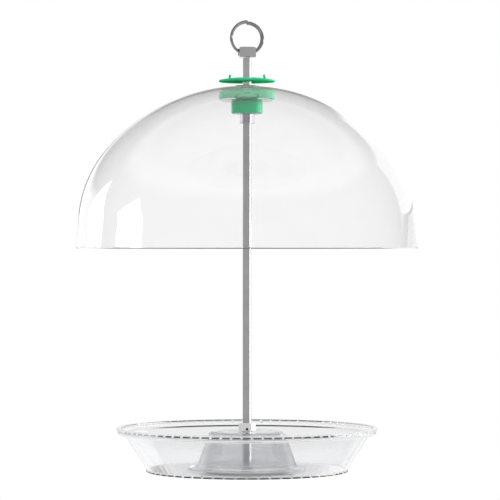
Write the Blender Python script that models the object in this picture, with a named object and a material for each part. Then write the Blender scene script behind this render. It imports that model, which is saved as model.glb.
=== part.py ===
"""Hanging platform bird feeder.

A clear dome and a clear seed tray on one steel pole that hangs from a split ring. The dome turns on the
neck of a green collar, and a collet inside the collar grips the pole at any height. The origin is the
middle of the tray's underside, +Z is up along the pole, and all sizes are in metres.
"""

import math

import bmesh
import bpy
from mathutils import Matrix, Vector

# Clearances that every piece shares
SEAT_GAP = 0.0003
SLIDE_GAP = 0.00035
CUT_OVERRUN = 0.002
CHAMFER_OVERRUN = 0.0002
MERGE_DISTANCE = 0.000001
SMOOTH_ANGLE = math.radians(32)

# Facets round each kind of piece
DOME_SEGMENTS = 48
TRAY_SEGMENTS = 60
CONE_SEGMENTS = 40
HUB_SEGMENTS = 32
SMALL_SEGMENTS = 20
DRAIN_SEGMENTS = 8
FILLET_STEPS = 2

# Pole: a rod with a tapped bore on top and a threaded stud below its shoulder
POLE_RADIUS = 0.0038
POLE_LENGTH = 0.3549
POLE_CHAMFER = 0.0004
POLE_BORE_DEPTH = 0.0125
STUD_RADIUS = 0.003
STUD_OVERRUN = 0.0003

# Tray nut and washer, in the hollow under the tray's raised centre
TRAY_NUT_FLATS = 0.010
TRAY_NUT_HEIGHT = 0.0032
TRAY_NUT_LIFT = 0.0006
TRAY_WASHER_RADIUS = 0.009
TRAY_WASHER_THICKNESS = 0.0008

# Tray: a flat floor, a leaning wall and a lip that curls up
TRAY_FOOT_RADIUS = 0.088
TRAY_FLOOR = 0.0022
TRAY_WALL = 0.0021
TRAY_WALL_HEIGHT = 0.0322
TRAY_WALL_LEAN = math.radians(31.8)
TRAY_LIP_WIDTH = 0.0079
TRAY_LIP_HEIGHT = 0.0065
TRAY_LIP_WALL = 0.0018
TRAY_KICK_HEIGHT = 0.0019
TRAY_LIP_RIBS = 80
TRAY_FOOT_RIBS = 56
TRAY_RIB_WIDTH = 0.0018
TRAY_RIB_DEPTH = 0.0007
TRAY_RIB_ROOT = 0.0008
TRAY_RIB_INSET = 0.0004
TRAY_DRAIN_COUNT = 8
TRAY_DRAIN_RADIUS = 0.0016

# Seed cone: a hollow cone that stands on the tray's floor over the raised centre
CONE_BASE_RADIUS = 0.0447
CONE_HEIGHT = 0.0327
CONE_LEAN = math.radians(19.6)
CONE_WALL = 0.0023
CONE_FLANGE_WIDTH = 0.0069
CONE_FLANGE_THICKNESS = 0.0017
CONE_SHOULDER_FILLET = 0.0045
CONE_FOOT_FILLET = 0.0016
PLATEAU_CLEARANCE = 0.0012

# Stop collar: a hexagon collar held on the pole by a grub screw in its front flat
STOP_FLATS = 0.013
STOP_HEIGHT = 0.0068
STOP_SCREW_RADIUS = 0.0009
STOP_SCREW_LIFT = 0.0018
STOP_SCREW_INSET = 0.0004
STOP_SOCKET_RADIUS = 0.0005
STOP_SOCKET_DEPTH = 0.0008

# Dome: a round crown, a tight shoulder, a wall that leans out and a bead round the rim
DOME_RADIUS = 0.150
DOME_HEIGHT = 0.1427
DOME_WALL = 0.0022
DOME_CROWN_SHARE = 1.093
DOME_SHOULDER_SHARE = 0.687
DOME_WALL_LEAN = math.radians(4.5)
DOME_RIM_HEIGHT = 0.0076
DOME_RIM_STEP = 0.0007
DOME_RIM_SLOPE_SHARE = 0.3
DOME_RIM_FILLET = 0.0007
DOME_HOLE_RADIUS = 0.0105
DOME_BELOW_POLE_TOP = 0.0246
DOME_CROWN_STEPS = 6
DOME_SHOULDER_STEPS = 5

# Hub collar: the flange that the dome sits on, its neck, and the threaded stub with a conical mouth
COLLAR_RADIUS = 0.0247
COLLAR_EDGE_HEIGHT = 0.007
COLLAR_FILLET = 0.0005
COLLAR_CROWN_STEPS = 2
NECK_STAND = 0.0003
STUB_RADIUS = 0.0102
STUB_LENGTH = 0.0084

# Collet sleeve: four fingers, a cone and a shoulder that the nut pushes up into the stub's mouth
SLEEVE_RADIUS = 0.0065
SLEEVE_TAIL = 0.0084
SLEEVE_SHOULDER_RADIUS = 0.0084
SLEEVE_SHOULDER_HEIGHT = 0.0012
SLEEVE_CONE_HEIGHT = 0.006
SLEEVE_TIP_RADIUS = 0.0056
SLEEVE_TIP_HEIGHT = 0.0058
SLEEVE_SLOT_WIDTH = 0.001
SLEEVE_SLOT_ANGLES = (math.radians(45), math.radians(135))

# Collet nut and clamp washer
NUT_RADIUS = 0.0138
NUT_HEIGHT = 0.0111
NUT_FLOOR = 0.0026
NUT_FILLET = 0.0014
WASHER_RADIUS = 0.0225
WASHER_THICKNESS = 0.0013

# Lock disc: a crowned disc with two finger tabs and a rubber ring in its bore
DISC_RADIUS = 0.0246
DISC_LIFT = 0.0031
DISC_EDGE = 0.0016
DISC_CROWN = 0.0022
DISC_FILLET = 0.0006
DISC_CROWN_STEPS = 3
TAB_REACH = 0.0158
TAB_LEAN = 0.001
TAB_RISE = 0.0048
TAB_THICKNESS = 0.0022
TAB_TIP_THICKNESS = 0.0016
TAB_WIDTH = 0.009
TAB_FILLET = 0.0005
GRIP_WIRE_RADIUS = 0.0008
GRIP_SEGMENTS = 6

# Finial: a hexagon head with a cross hole, and a spigot that screws into the pole
FINIAL_FLATS = 0.0147
FINIAL_HEIGHT = 0.009
FINIAL_TURN = math.radians(9)
FINIAL_CHAMFER_SLOPE = math.radians(30)
FINIAL_EYE_RADIUS = 0.0035
FINIAL_EYE_LIFT = 0.0045
SPIGOT_RADIUS = 0.002
SPIGOT_LENGTH = 0.0115
SPIGOT_CHAMFER = 0.0004

# Hanging ring: two turns of wire, side by side through the finial's eye, each turn a little smaller
RING_WIRE_RADIUS = 0.001
RING_RADIUS = 0.01465
RING_SHRINK = 0.0009
RING_PITCH = 0.0022
RING_TURNS = 2
RING_DROP = 0.0022
RING_POINTS_PER_TURN = 24
RING_BEVEL_RESOLUTION = 1

# Heights worked out from the sizes above, from the tray's underside up
tray_nut_top = TRAY_NUT_LIFT + TRAY_NUT_HEIGHT
tray_washer_bottom = tray_nut_top + SEAT_GAP
tray_washer_top = tray_washer_bottom + TRAY_WASHER_THICKNESS
plateau_bottom = tray_washer_top + SEAT_GAP
plateau_top = plateau_bottom + TRAY_FLOOR
pole_shoulder = plateau_top + SEAT_GAP
pole_top = pole_shoulder + POLE_LENGTH
cone_bottom = TRAY_FLOOR + SEAT_GAP
cone_top = cone_bottom + CONE_HEIGHT
stop_bottom = cone_top + SEAT_GAP

dome_apex = pole_top - DOME_BELOW_POLE_TOP
dome_rim = dome_apex - DOME_HEIGHT
dome_crown_radius = DOME_CROWN_SHARE * DOME_RADIUS
dome_crown_centre = dome_apex - dome_crown_radius

neck_radius = DOME_HOLE_RADIUS - SEAT_GAP
neck_top = dome_apex + NECK_STAND
collar_crown_radius = dome_crown_radius - DOME_WALL - SEAT_GAP
collar_edge_top = dome_crown_centre + math.sqrt(collar_crown_radius**2 - COLLAR_RADIUS**2)
collar_bottom = collar_edge_top - COLLAR_EDGE_HEIGHT
stub_bottom = collar_bottom - STUB_LENGTH
washer_top = collar_bottom - SEAT_GAP
washer_bottom = washer_top - WASHER_THICKNESS
nut_top = washer_bottom - SEAT_GAP
nut_bottom = nut_top - NUT_HEIGHT
nut_floor_top = nut_bottom + NUT_FLOOR
shoulder_bottom = nut_floor_top + SEAT_GAP
shoulder_top = shoulder_bottom + SLEEVE_SHOULDER_HEIGHT
sleeve_cone_top = shoulder_top + SLEEVE_CONE_HEIGHT
sleeve_top = sleeve_cone_top + SLEEVE_TIP_HEIGHT
sleeve_bottom = nut_bottom - SLEEVE_TAIL
guide_radius = POLE_RADIUS + SLIDE_GAP

disc_bottom = neck_top + DISC_LIFT
disc_edge_top = disc_bottom + DISC_EDGE
disc_top = disc_edge_top + DISC_CROWN
finial_bottom = pole_top + SEAT_GAP
finial_eye = finial_bottom + FINIAL_EYE_LIFT

steel = {"colour": (0.62, 0.62, 0.63), "roughness": 0.22, "metallic": 1.0}
dark_chrome = {"colour": (0.42, 0.42, 0.44), "roughness": 0.12, "metallic": 1.0}
clear = {"colour": (0.94, 0.95, 0.96), "roughness": 0.03, "metallic": 0.0, "transmission": 0.95}
smoky = {"colour": (0.86, 0.84, 0.90), "roughness": 0.12, "metallic": 0.0, "transmission": 0.85}
green = {"colour": (0.05, 0.55, 0.27), "roughness": 0.3, "metallic": 0.0}
rubber = {"colour": (0.03, 0.03, 0.03), "roughness": 0.7, "metallic": 0.0}
black_steel = {"colour": (0.05, 0.05, 0.055), "roughness": 0.35, "metallic": 1.0}


def clear_scene():
    """Removes what a new Blender file starts with."""
    for old in list(bpy.data.objects):
        bpy.data.objects.remove(old)


def make_material(name, colour, roughness, metallic, transmission=0.0):
    """A Principled material for one piece."""
    material = bpy.data.materials.new(name)
    material.use_nodes = True
    shader = material.node_tree.nodes["Principled BSDF"]
    shader.inputs["Base Color"].default_value = (*colour, 1)
    shader.inputs["Roughness"].default_value = roughness
    shader.inputs["Metallic"].default_value = metallic
    shader.inputs["Transmission Weight"].default_value = transmission
    material.diffuse_color = (*colour, 1)
    return material


def place(name, data, finish=None):
    """An object in the scene: a piece when it has a finish, and otherwise a hidden guide for a Boolean."""
    thing = bpy.data.objects.new(name, data)
    bpy.context.collection.objects.link(thing)
    if finish is None:
        thing.hide_render = True
        thing.display_type = "WIRE"
    else:
        data.materials.append(make_material(name, **finish))
    return thing


def mesh_from(bm, name, finish=None):
    """The object made from a bmesh, with its faces turned outwards and smooth between its edges."""
    bmesh.ops.recalc_face_normals(bm, faces=bm.faces)
    mesh = bpy.data.meshes.new(name)
    bm.to_mesh(mesh)
    bm.free()
    mesh.shade_smooth()
    mesh.set_sharp_from_angle(angle=SMOOTH_ANGLE)
    return place(name, mesh, finish)


def combine(target, other, operation):
    """Adds a Boolean with another object, which stays as a hidden guide."""
    other.hide_render = True
    other.display_type = "WIRE"
    boolean = target.modifiers.new(f"{operation.lower()}_{other.name}", "BOOLEAN")
    boolean.operation = operation
    boolean.solver = "EXACT"
    boolean.object = other


def arc(centre, radius, start, end, steps):
    """Points of an arc in the plane of an outline, angles measured up from the outward direction."""
    angles = [start + (end - start) * step / steps for step in range(steps + 1)]
    return [(centre[0] + radius * math.cos(a), centre[1] + radius * math.sin(a)) for a in angles]


def rounded(corners, steps=FILLET_STEPS):
    """The closed outline through corners given as (across, up) or (across, up, fillet radius)."""
    outline = []
    for index, corner in enumerate(corners):
        here = Vector(corner[:2])
        if len(corner) == 2:
            outline.append(tuple(here))
            continue
        back = (Vector(corners[index - 1][:2]) - here).normalized()
        onward = (Vector(corners[(index + 1) % len(corners)][:2]) - here).normalized()
        half = back.angle(onward) / 2
        sweep = math.pi - 2 * half
        centre = here + (back + onward).normalized() * (corner[2] / math.sin(half))
        first = here + back * (corner[2] / math.tan(half)) - centre
        last = here + onward * (corner[2] / math.tan(half)) - centre
        for step in range(steps + 1):
            part = sweep * step / steps
            spoke = (first * math.sin(sweep - part) + last * math.sin(part)) / math.sin(sweep)
            outline.append(tuple(centre + spoke))
    return outline


def turned(name, outline, segments, finish=None):
    """A solid of revolution about Z, from a closed outline of (radius, height) points."""
    bm = bmesh.new()
    verts = [bm.verts.new((radius, 0, height)) for radius, height in outline]
    for here, onward in zip(verts, verts[1:] + verts[:1]):
        if here.co.x > 0 or onward.co.x > 0:
            bm.edges.new((here, onward))
    bmesh.ops.spin(bm, geom=bm.verts[:] + bm.edges[:], cent=(0, 0, 0), axis=(0, 0, 1),
                   angle=math.tau, steps=segments, use_merge=True)
    bmesh.ops.remove_doubles(bm, verts=bm.verts, dist=MERGE_DISTANCE)
    return mesh_from(bm, name, finish)


def slab_of(outline, thickness, placing):
    """The corners of an outline extruded both ways along Y, moved by a matrix, as two rows of points."""
    rows = []
    for side in (-thickness / 2, thickness / 2):
        rows.append([placing @ Vector((across, side, up)) for across, up in outline])
    return rows


def add_prism(bm, rows):
    """Adds the closed prism between two rows of points."""
    near, far = [[bm.verts.new(point) for point in row] for row in rows]
    bm.faces.new(near)
    bm.faces.new(far)
    for index in range(len(near)):
        onward = (index + 1) % len(near)
        bm.faces.new((near[index], near[onward], far[onward], far[index]))


def prisms(name, outline, thickness, placings):
    """One object that holds a prism of the outline at each placing."""
    bm = bmesh.new()
    for placing in placings:
        add_prism(bm, slab_of(outline, thickness, placing))
    return mesh_from(bm, name)


def rods(name, radius, length, placings, segments=SMALL_SEGMENTS):
    """One object that holds a round bar along Z at each placing."""
    bm = bmesh.new()
    for placing in placings:
        bmesh.ops.create_cone(bm, cap_ends=True, segments=segments, radius1=radius, radius2=radius,
                              depth=length, matrix=placing)
    return mesh_from(bm, name)


def hexagon(name, flats, outline, segments, turn, finish):
    """A hexagon piece: a hexagon bar cut to a turned outline, which gives its chamfers, bore and spigot."""
    heights = [height for _, height in outline]
    low = min(heights) - CUT_OVERRUN
    high = max(heights) + CUT_OVERRUN
    corner = flats / 2 / math.cos(math.pi / 6)
    bm = bmesh.new()
    lift = Matrix.Translation((0, 0, (low + high) / 2))
    bmesh.ops.create_cone(bm, cap_ends=True, segments=6, radius1=corner, radius2=corner,
                          depth=high - low, matrix=lift @ Matrix.Rotation(turn, 4, "Z"))
    piece = mesh_from(bm, name, finish)
    combine(piece, turned(f"{name}_turning", outline, segments), "INTERSECT")
    return piece


def nut_outline(flats, bore, bottom, top, slope=FINIAL_CHAMFER_SLOPE):
    """The turned outline of a nut: a bore, two flat faces and a chamfer on each."""
    face = flats / 2
    outside = flats / 2 / math.cos(math.pi / 6) + CHAMFER_OVERRUN
    chamfer = (outside - face) * math.tan(slope)
    return [(bore, bottom), (face, bottom), (outside, bottom + chamfer), (outside, top - chamfer),
            (face, top), (bore, top)]


def around(count, first=0.0):
    """Turns about Z that place copies evenly in a circle."""
    return [Matrix.Rotation(first + math.tau * step / count, 4, "Z") for step in range(count)]


def make_pole():
    """The rod: a tapped bore on top, a shoulder on the tray and a stud through it."""
    stud_end = TRAY_NUT_LIFT - STUD_OVERRUN
    bore = SPIGOT_RADIUS + SEAT_GAP
    outline = [
        (0, pole_top - POLE_BORE_DEPTH),
        (bore, pole_top - POLE_BORE_DEPTH),
        (bore, pole_top),
        (POLE_RADIUS - POLE_CHAMFER, pole_top),
        (POLE_RADIUS, pole_top - POLE_CHAMFER),
        (POLE_RADIUS, pole_shoulder),
        (STUD_RADIUS, pole_shoulder),
        (STUD_RADIUS, stud_end + POLE_CHAMFER),
        (STUD_RADIUS - POLE_CHAMFER, stud_end),
        (0, stud_end),
    ]
    turned("pole", outline, SMALL_SEGMENTS, steel)


def make_tray_fastener():
    """The washer and the thin nut that hold the tray on the pole's stud."""
    bore = STUD_RADIUS + SEAT_GAP
    washer = [(bore, tray_washer_bottom), (TRAY_WASHER_RADIUS, tray_washer_bottom),
              (TRAY_WASHER_RADIUS, tray_washer_top), (bore, tray_washer_top)]
    turned("tray_washer", washer, SMALL_SEGMENTS, steel)
    outline = nut_outline(TRAY_NUT_FLATS, bore, TRAY_NUT_LIFT, tray_nut_top)
    hexagon("tray_nut", TRAY_NUT_FLATS, outline, SMALL_SEGMENTS, 0, steel)


def cone_inner_radius(height):
    """The seed cone's inner radius at a height above the tray's underside."""
    across = CONE_WALL / math.cos(CONE_LEAN)
    return CONE_BASE_RADIUS - (height - cone_bottom) * math.tan(CONE_LEAN) - across


def tray_outline():
    """The tray's section: raised centre, floor, kick at the foot, leaning wall and curled lip."""
    plateau_foot = cone_inner_radius(TRAY_FLOOR) - PLATEAU_CLEARANCE
    rise = plateau_top - TRAY_FLOOR
    plateau_edge = plateau_foot - rise * math.tan(CONE_LEAN)
    side = TRAY_FLOOR / math.cos(CONE_LEAN)
    lean = math.tan(TRAY_WALL_LEAN)
    wall_across = TRAY_WALL / math.cos(TRAY_WALL_LEAN)
    wall_radius = TRAY_FOOT_RADIUS + (TRAY_WALL_HEIGHT - TRAY_KICK_HEIGHT) * lean
    lip_radius = wall_radius + TRAY_LIP_WIDTH - TRAY_RIB_DEPTH
    lip_top = TRAY_WALL_HEIGHT + TRAY_LIP_HEIGHT
    inner_lip = TRAY_WALL_HEIGHT + TRAY_LIP_WALL
    inner_wall_top = wall_radius + (inner_lip - TRAY_WALL_HEIGHT) * lean - wall_across
    inner_wall_foot = TRAY_FOOT_RADIUS + (TRAY_FLOOR - TRAY_KICK_HEIGHT) * lean - wall_across
    curl = TRAY_LIP_WIDTH - TRAY_LIP_WALL
    return rounded([
        (STUD_RADIUS + SEAT_GAP, plateau_bottom),
        (plateau_edge - side, plateau_bottom),
        (plateau_foot - side, 0),
        (TRAY_FOOT_RADIUS, 0),
        (TRAY_FOOT_RADIUS, TRAY_KICK_HEIGHT),
        (wall_radius, TRAY_WALL_HEIGHT),
        (lip_radius, TRAY_WALL_HEIGHT, curl),
        (lip_radius, lip_top),
        (lip_radius - TRAY_LIP_WALL, lip_top),
        (lip_radius - TRAY_LIP_WALL, inner_lip, curl - TRAY_LIP_WALL),
        (inner_wall_top, inner_lip),
        (inner_wall_foot, TRAY_FLOOR),
        (plateau_foot, TRAY_FLOOR),
        (plateau_edge, plateau_top),
        (STUD_RADIUS + SEAT_GAP, plateau_top),
    ])


def make_tray():
    """The tray, with its lip ribs, foot ribs and drain holes."""
    tray = turned("tray", tray_outline(), TRAY_SEGMENTS, clear)
    lean = math.tan(TRAY_WALL_LEAN)
    lip_radius = (TRAY_FOOT_RADIUS + (TRAY_WALL_HEIGHT - TRAY_KICK_HEIGHT) * lean
                  + TRAY_LIP_WIDTH - TRAY_RIB_DEPTH)
    lip_top = TRAY_WALL_HEIGHT + TRAY_LIP_HEIGHT
    lip_rib = [
        (lip_radius - TRAY_RIB_ROOT, TRAY_WALL_HEIGHT + TRAY_LIP_HEIGHT / 2),
        (lip_radius + TRAY_RIB_DEPTH, TRAY_WALL_HEIGHT + TRAY_LIP_HEIGHT / 2),
        (lip_radius + TRAY_RIB_DEPTH, lip_top - TRAY_RIB_ROOT),
        (lip_radius - TRAY_RIB_ROOT, lip_top - TRAY_RIB_ROOT),
    ]
    half_step = math.pi / TRAY_LIP_RIBS
    lip_ribs = prisms("tray_lip_ribs", lip_rib, TRAY_RIB_WIDTH, around(TRAY_LIP_RIBS, half_step))
    combine(tray, lip_ribs, "UNION")
    foot_rib = [
        (TRAY_FOOT_RADIUS - TRAY_RIB_ROOT, TRAY_RIB_INSET),
        (TRAY_FOOT_RADIUS + TRAY_RIB_DEPTH, TRAY_RIB_INSET),
        (TRAY_FOOT_RADIUS + TRAY_RIB_DEPTH, TRAY_KICK_HEIGHT),
        (TRAY_FOOT_RADIUS - TRAY_RIB_ROOT, TRAY_KICK_HEIGHT),
    ]
    foot_ribs = prisms("tray_foot_ribs", foot_rib, TRAY_RIB_WIDTH, around(TRAY_FOOT_RIBS))
    combine(tray, foot_ribs, "UNION")
    drain_circle = (CONE_BASE_RADIUS + CONE_FLANGE_WIDTH + TRAY_FOOT_RADIUS) / 2
    outwards = Matrix.Translation((drain_circle, 0, TRAY_FLOOR / 2))
    placings = [turn @ outwards for turn in around(TRAY_DRAIN_COUNT, math.pi / TRAY_DRAIN_COUNT)]
    drains = rods("tray_drains", TRAY_DRAIN_RADIUS, TRAY_FLOOR + CUT_OVERRUN, placings, DRAIN_SEGMENTS)
    combine(tray, drains, "DIFFERENCE")


def make_seed_cone():
    """The hollow cone in the middle of the tray, with a foot flange and a rounded top."""
    top_radius = CONE_BASE_RADIUS - CONE_HEIGHT * math.tan(CONE_LEAN)
    under = cone_top - CONE_WALL
    flange_top = cone_bottom + CONE_FLANGE_THICKNESS
    outline = rounded([
        (guide_radius, cone_top),
        (guide_radius, under),
        (cone_inner_radius(under), under, CONE_SHOULDER_FILLET - CONE_WALL),
        (cone_inner_radius(cone_bottom), cone_bottom),
        (CONE_BASE_RADIUS + CONE_FLANGE_WIDTH, cone_bottom),
        (CONE_BASE_RADIUS + CONE_FLANGE_WIDTH, flange_top),
        (CONE_BASE_RADIUS - CONE_FLANGE_THICKNESS * math.tan(CONE_LEAN), flange_top, CONE_FOOT_FILLET),
        (top_radius, cone_top, CONE_SHOULDER_FILLET),
    ])
    turned("seed_cone", outline, CONE_SEGMENTS, clear)


def make_stop_collar():
    """The hexagon collar on top of the seed cone, one flat to the front, with its grub screw."""
    top = stop_bottom + STOP_HEIGHT
    outline = nut_outline(STOP_FLATS, guide_radius, stop_bottom, top)
    collar = hexagon("stop_collar", STOP_FLATS, outline, SMALL_SEGMENTS, math.pi / 6, steel)
    face = STOP_FLATS / 2
    hole_length = face - POLE_RADIUS + CUT_OVERRUN
    across = Matrix.Rotation(math.pi / 2, 4, "X")
    screw_height = stop_bottom + STOP_SCREW_LIFT
    hole_place = Matrix.Translation((0, -POLE_RADIUS - hole_length / 2, screw_height)) @ across
    hole = rods("stop_collar_hole", STOP_SCREW_RADIUS + SEAT_GAP, hole_length, [hole_place])
    combine(collar, hole, "DIFFERENCE")
    inner = POLE_RADIUS + SEAT_GAP
    outer = face - STOP_SCREW_INSET
    outline = [
        (0, inner),
        (STOP_SCREW_RADIUS, inner),
        (STOP_SCREW_RADIUS, outer),
        (STOP_SOCKET_RADIUS, outer),
        (STOP_SOCKET_RADIUS, outer - STOP_SOCKET_DEPTH),
        (0, outer - STOP_SOCKET_DEPTH),
    ]
    screw = turned("stop_screw", outline, SMALL_SEGMENTS // 2, black_steel)
    screw.data.transform(Matrix.Translation((0, 0, screw_height)) @ across)


def dome_side(inset):
    """One side of the dome's section, from the hole down to the rim, set in from the outside by inset."""
    crown_radius = dome_crown_radius
    shoulder_radius = DOME_SHOULDER_SHARE * DOME_RADIUS
    along = Vector((-math.sin(DOME_WALL_LEAN), math.cos(DOME_WALL_LEAN)))
    outward = Vector((math.cos(DOME_WALL_LEAN), math.sin(DOME_WALL_LEAN)))
    wall_foot = Vector((DOME_RADIUS - DOME_RIM_STEP, dome_rim + DOME_RIM_HEIGHT))
    crown_centre = Vector((0, dome_crown_centre))
    reach = wall_foot.dot(outward) - shoulder_radius
    off_line = reach - crown_centre.dot(outward)
    climb = crown_centre.dot(along) + math.sqrt((crown_radius - shoulder_radius) ** 2 - off_line**2)
    shoulder_centre = reach * outward + climb * along
    spoke = shoulder_centre - crown_centre
    meet = math.atan2(spoke.y, spoke.x)
    hole_angle = math.acos(DOME_HOLE_RADIUS / (crown_radius - inset))
    crown = arc(crown_centre, crown_radius - inset, hole_angle, meet, DOME_CROWN_STEPS)
    shoulder = arc(shoulder_centre, shoulder_radius - inset, meet, DOME_WALL_LEAN, DOME_SHOULDER_STEPS)
    return crown + shoulder[1:]


def make_dome():
    """The clear dome, one wall thickness throughout, with a bead round its rim."""
    outside = dome_side(0)
    inside = dome_side(DOME_WALL)
    bead_top = dome_rim + DOME_RIM_HEIGHT
    bead_shoulder = bead_top - DOME_RIM_HEIGHT * DOME_RIM_SLOPE_SHARE
    foot_radius = (DOME_RADIUS - DOME_RIM_STEP + DOME_RIM_HEIGHT * math.tan(DOME_WALL_LEAN)
                   - DOME_WALL / math.cos(DOME_WALL_LEAN))
    bead = rounded([
        (DOME_RADIUS - DOME_RIM_STEP, bead_top),
        (DOME_RADIUS, bead_shoulder),
        (DOME_RADIUS, dome_rim, DOME_RIM_FILLET),
        (foot_radius, dome_rim, DOME_RIM_FILLET),
        inside[-1],
    ])
    turned("dome", outside + bead + inside[::-1][1:], DOME_SEGMENTS, clear)


def make_hub_collar():
    """The collar: a flange shaped to the dome's inside, a neck through its hole and a stub below."""
    centre = (0, dome_crown_centre)
    edge_angle = math.acos(COLLAR_RADIUS / collar_crown_radius)
    neck_angle = math.acos(neck_radius / collar_crown_radius)
    crown = arc(centre, collar_crown_radius, edge_angle, neck_angle, COLLAR_CROWN_STEPS)
    slope = (SLEEVE_SHOULDER_RADIUS - SLEEVE_TIP_RADIUS) / SLEEVE_CONE_HEIGHT
    cone_gap = SEAT_GAP * math.sqrt(1 + slope**2)
    mouth = SLEEVE_SHOULDER_RADIUS - (stub_bottom - shoulder_top) * slope + cone_gap
    throat = SLEEVE_TIP_RADIUS + cone_gap
    bore_end = sleeve_top + SEAT_GAP
    lower = rounded([
        crown[0],
        (neck_radius, neck_top),
        (guide_radius, neck_top),
        (guide_radius, bore_end),
        (throat, bore_end),
        (throat, sleeve_cone_top),
        (mouth, stub_bottom),
        (STUB_RADIUS, stub_bottom),
        (STUB_RADIUS, collar_bottom),
        (COLLAR_RADIUS, collar_bottom, COLLAR_FILLET),
    ])
    turned("hub_collar", lower[1:] + crown, HUB_SEGMENTS, green)


def make_clamp_washer():
    """The thin clear washer between the collar and the nut."""
    bore = STUB_RADIUS + SEAT_GAP
    outline = [(bore, washer_bottom), (WASHER_RADIUS, washer_bottom), (WASHER_RADIUS, washer_top),
               (bore, washer_top)]
    turned("clamp_washer", outline, HUB_SEGMENTS, smoky)


def make_collet_nut():
    """The round hand nut: it screws up the stub, and its floor pushes the sleeve into the stub's mouth."""
    outline = rounded([
        (STUB_RADIUS + SEAT_GAP, nut_top),
        (STUB_RADIUS + SEAT_GAP, nut_floor_top),
        (SLEEVE_RADIUS + SEAT_GAP, nut_floor_top),
        (SLEEVE_RADIUS + SEAT_GAP, nut_bottom),
        (NUT_RADIUS, nut_bottom, NUT_FILLET),
        (NUT_RADIUS, nut_top, COLLAR_FILLET),
    ])
    turned("collet_nut", outline, HUB_SEGMENTS, green)


def make_collet_sleeve():
    """The sleeve: a plain tail, a shoulder and four fingers behind a cone."""
    outline = [
        (guide_radius, sleeve_top),
        (guide_radius, sleeve_bottom),
        (SLEEVE_RADIUS, sleeve_bottom),
        (SLEEVE_RADIUS, shoulder_bottom),
        (SLEEVE_SHOULDER_RADIUS, shoulder_bottom),
        (SLEEVE_SHOULDER_RADIUS, shoulder_top),
        (SLEEVE_TIP_RADIUS, sleeve_cone_top),
        (SLEEVE_TIP_RADIUS, sleeve_top),
    ]
    sleeve = turned("collet_sleeve", outline, HUB_SEGMENTS, smoky)
    half = SLEEVE_SHOULDER_RADIUS + CUT_OVERRUN
    slot = [(-half, shoulder_top), (half, shoulder_top), (half, sleeve_top + CUT_OVERRUN),
            (-half, sleeve_top + CUT_OVERRUN)]
    for number, angle in enumerate(SLEEVE_SLOT_ANGLES):
        placing = Matrix.Rotation(angle, 4, "Z")
        cutter = prisms(f"collet_sleeve_slot_{number}", slot, SLEEVE_SLOT_WIDTH, [placing])
        combine(sleeve, cutter, "DIFFERENCE")


def make_lock_disc():
    """The loose disc above the dome, crowned on top, with two finger tabs and a groove in its bore."""
    groove_radius = guide_radius + 2 * GRIP_WIRE_RADIUS + SEAT_GAP
    groove_height = 2 * (GRIP_WIRE_RADIUS + SEAT_GAP)
    groove_middle = (disc_bottom + disc_top) / 2
    groove_low = groove_middle - groove_height / 2
    groove_high = groove_middle + groove_height / 2
    crown = []
    for step in range(DISC_CROWN_STEPS + 1):
        part = 1 - step / DISC_CROWN_STEPS
        radius = guide_radius + (DISC_RADIUS - guide_radius) * part
        crown.append((radius, disc_top - DISC_CROWN * part**2))
    outline = rounded([
        (guide_radius, groove_high),
        (groove_radius, groove_high),
        (groove_radius, groove_low),
        (guide_radius, groove_low),
        (guide_radius, disc_bottom),
        (DISC_RADIUS, disc_bottom, DISC_FILLET),
        (DISC_RADIUS, disc_edge_top, DISC_FILLET / 2),
    ] + crown[1:])
    disc = turned("lock_disc", outline, HUB_SEGMENTS, green)
    root = disc_bottom + DISC_EDGE / 2
    tip = disc_edge_top + TAB_RISE
    half = TAB_THICKNESS / 2
    tip_half = TAB_TIP_THICKNESS / 2
    tab = rounded([
        (TAB_REACH - half, root),
        (TAB_REACH + half, root),
        (TAB_REACH - TAB_LEAN + tip_half, tip, TAB_FILLET),
        (TAB_REACH - TAB_LEAN - tip_half, tip, TAB_FILLET),
    ])
    combine(disc, prisms("lock_disc_tabs", tab, TAB_WIDTH, around(2)), "UNION")
    ring_centre = (guide_radius + GRIP_WIRE_RADIUS, groove_middle)
    wire = arc(ring_centre, GRIP_WIRE_RADIUS, 0, math.tau, GRIP_SEGMENTS)[:-1]
    turned("disc_grip_ring", wire, SMALL_SEGMENTS, rubber)


def make_finial():
    """The hexagon head: chamfered at both ends, a spigot below and an eye through two flats for the ring."""
    face = FINIAL_FLATS / 2
    outside = face / math.cos(math.pi / 6) + CHAMFER_OVERRUN
    chamfer = (outside - face) * math.tan(FINIAL_CHAMFER_SLOPE)
    top = finial_bottom + FINIAL_HEIGHT
    spigot_end = finial_bottom - SPIGOT_LENGTH
    outline = [
        (0, spigot_end),
        (SPIGOT_RADIUS - SPIGOT_CHAMFER, spigot_end),
        (SPIGOT_RADIUS, spigot_end + SPIGOT_CHAMFER),
        (SPIGOT_RADIUS, finial_bottom),
        (face, finial_bottom),
        (outside, finial_bottom + chamfer),
        (outside, top - chamfer),
        (face, top),
        (0, top),
    ]
    finial = hexagon("finial", FINIAL_FLATS, outline, SMALL_SEGMENTS, FINIAL_TURN, steel)
    along = Matrix.Rotation(FINIAL_TURN, 4, "Z") @ Matrix.Rotation(math.pi / 2, 4, "Y")
    placing = Matrix.Translation((0, 0, finial_eye)) @ along
    eye = rods("finial_eye", FINIAL_EYE_RADIUS, 2 * outside, [placing])
    combine(finial, eye, "DIFFERENCE")


def ring_points():
    """The wire's centre line: turns about the ring's own axis that draw in slowly, both ends on top."""
    points = []
    steps = RING_TURNS * RING_POINTS_PER_TURN
    for step in range(steps + 1):
        turn = step / RING_POINTS_PER_TURN
        angle = math.pi / 2 + math.tau * turn
        aside = RING_PITCH * (turn - RING_TURNS / 2)
        radius = RING_RADIUS - RING_SHRINK * turn
        points.append(Vector((radius * math.cos(angle), aside, radius * math.sin(angle))))
    return points


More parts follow.
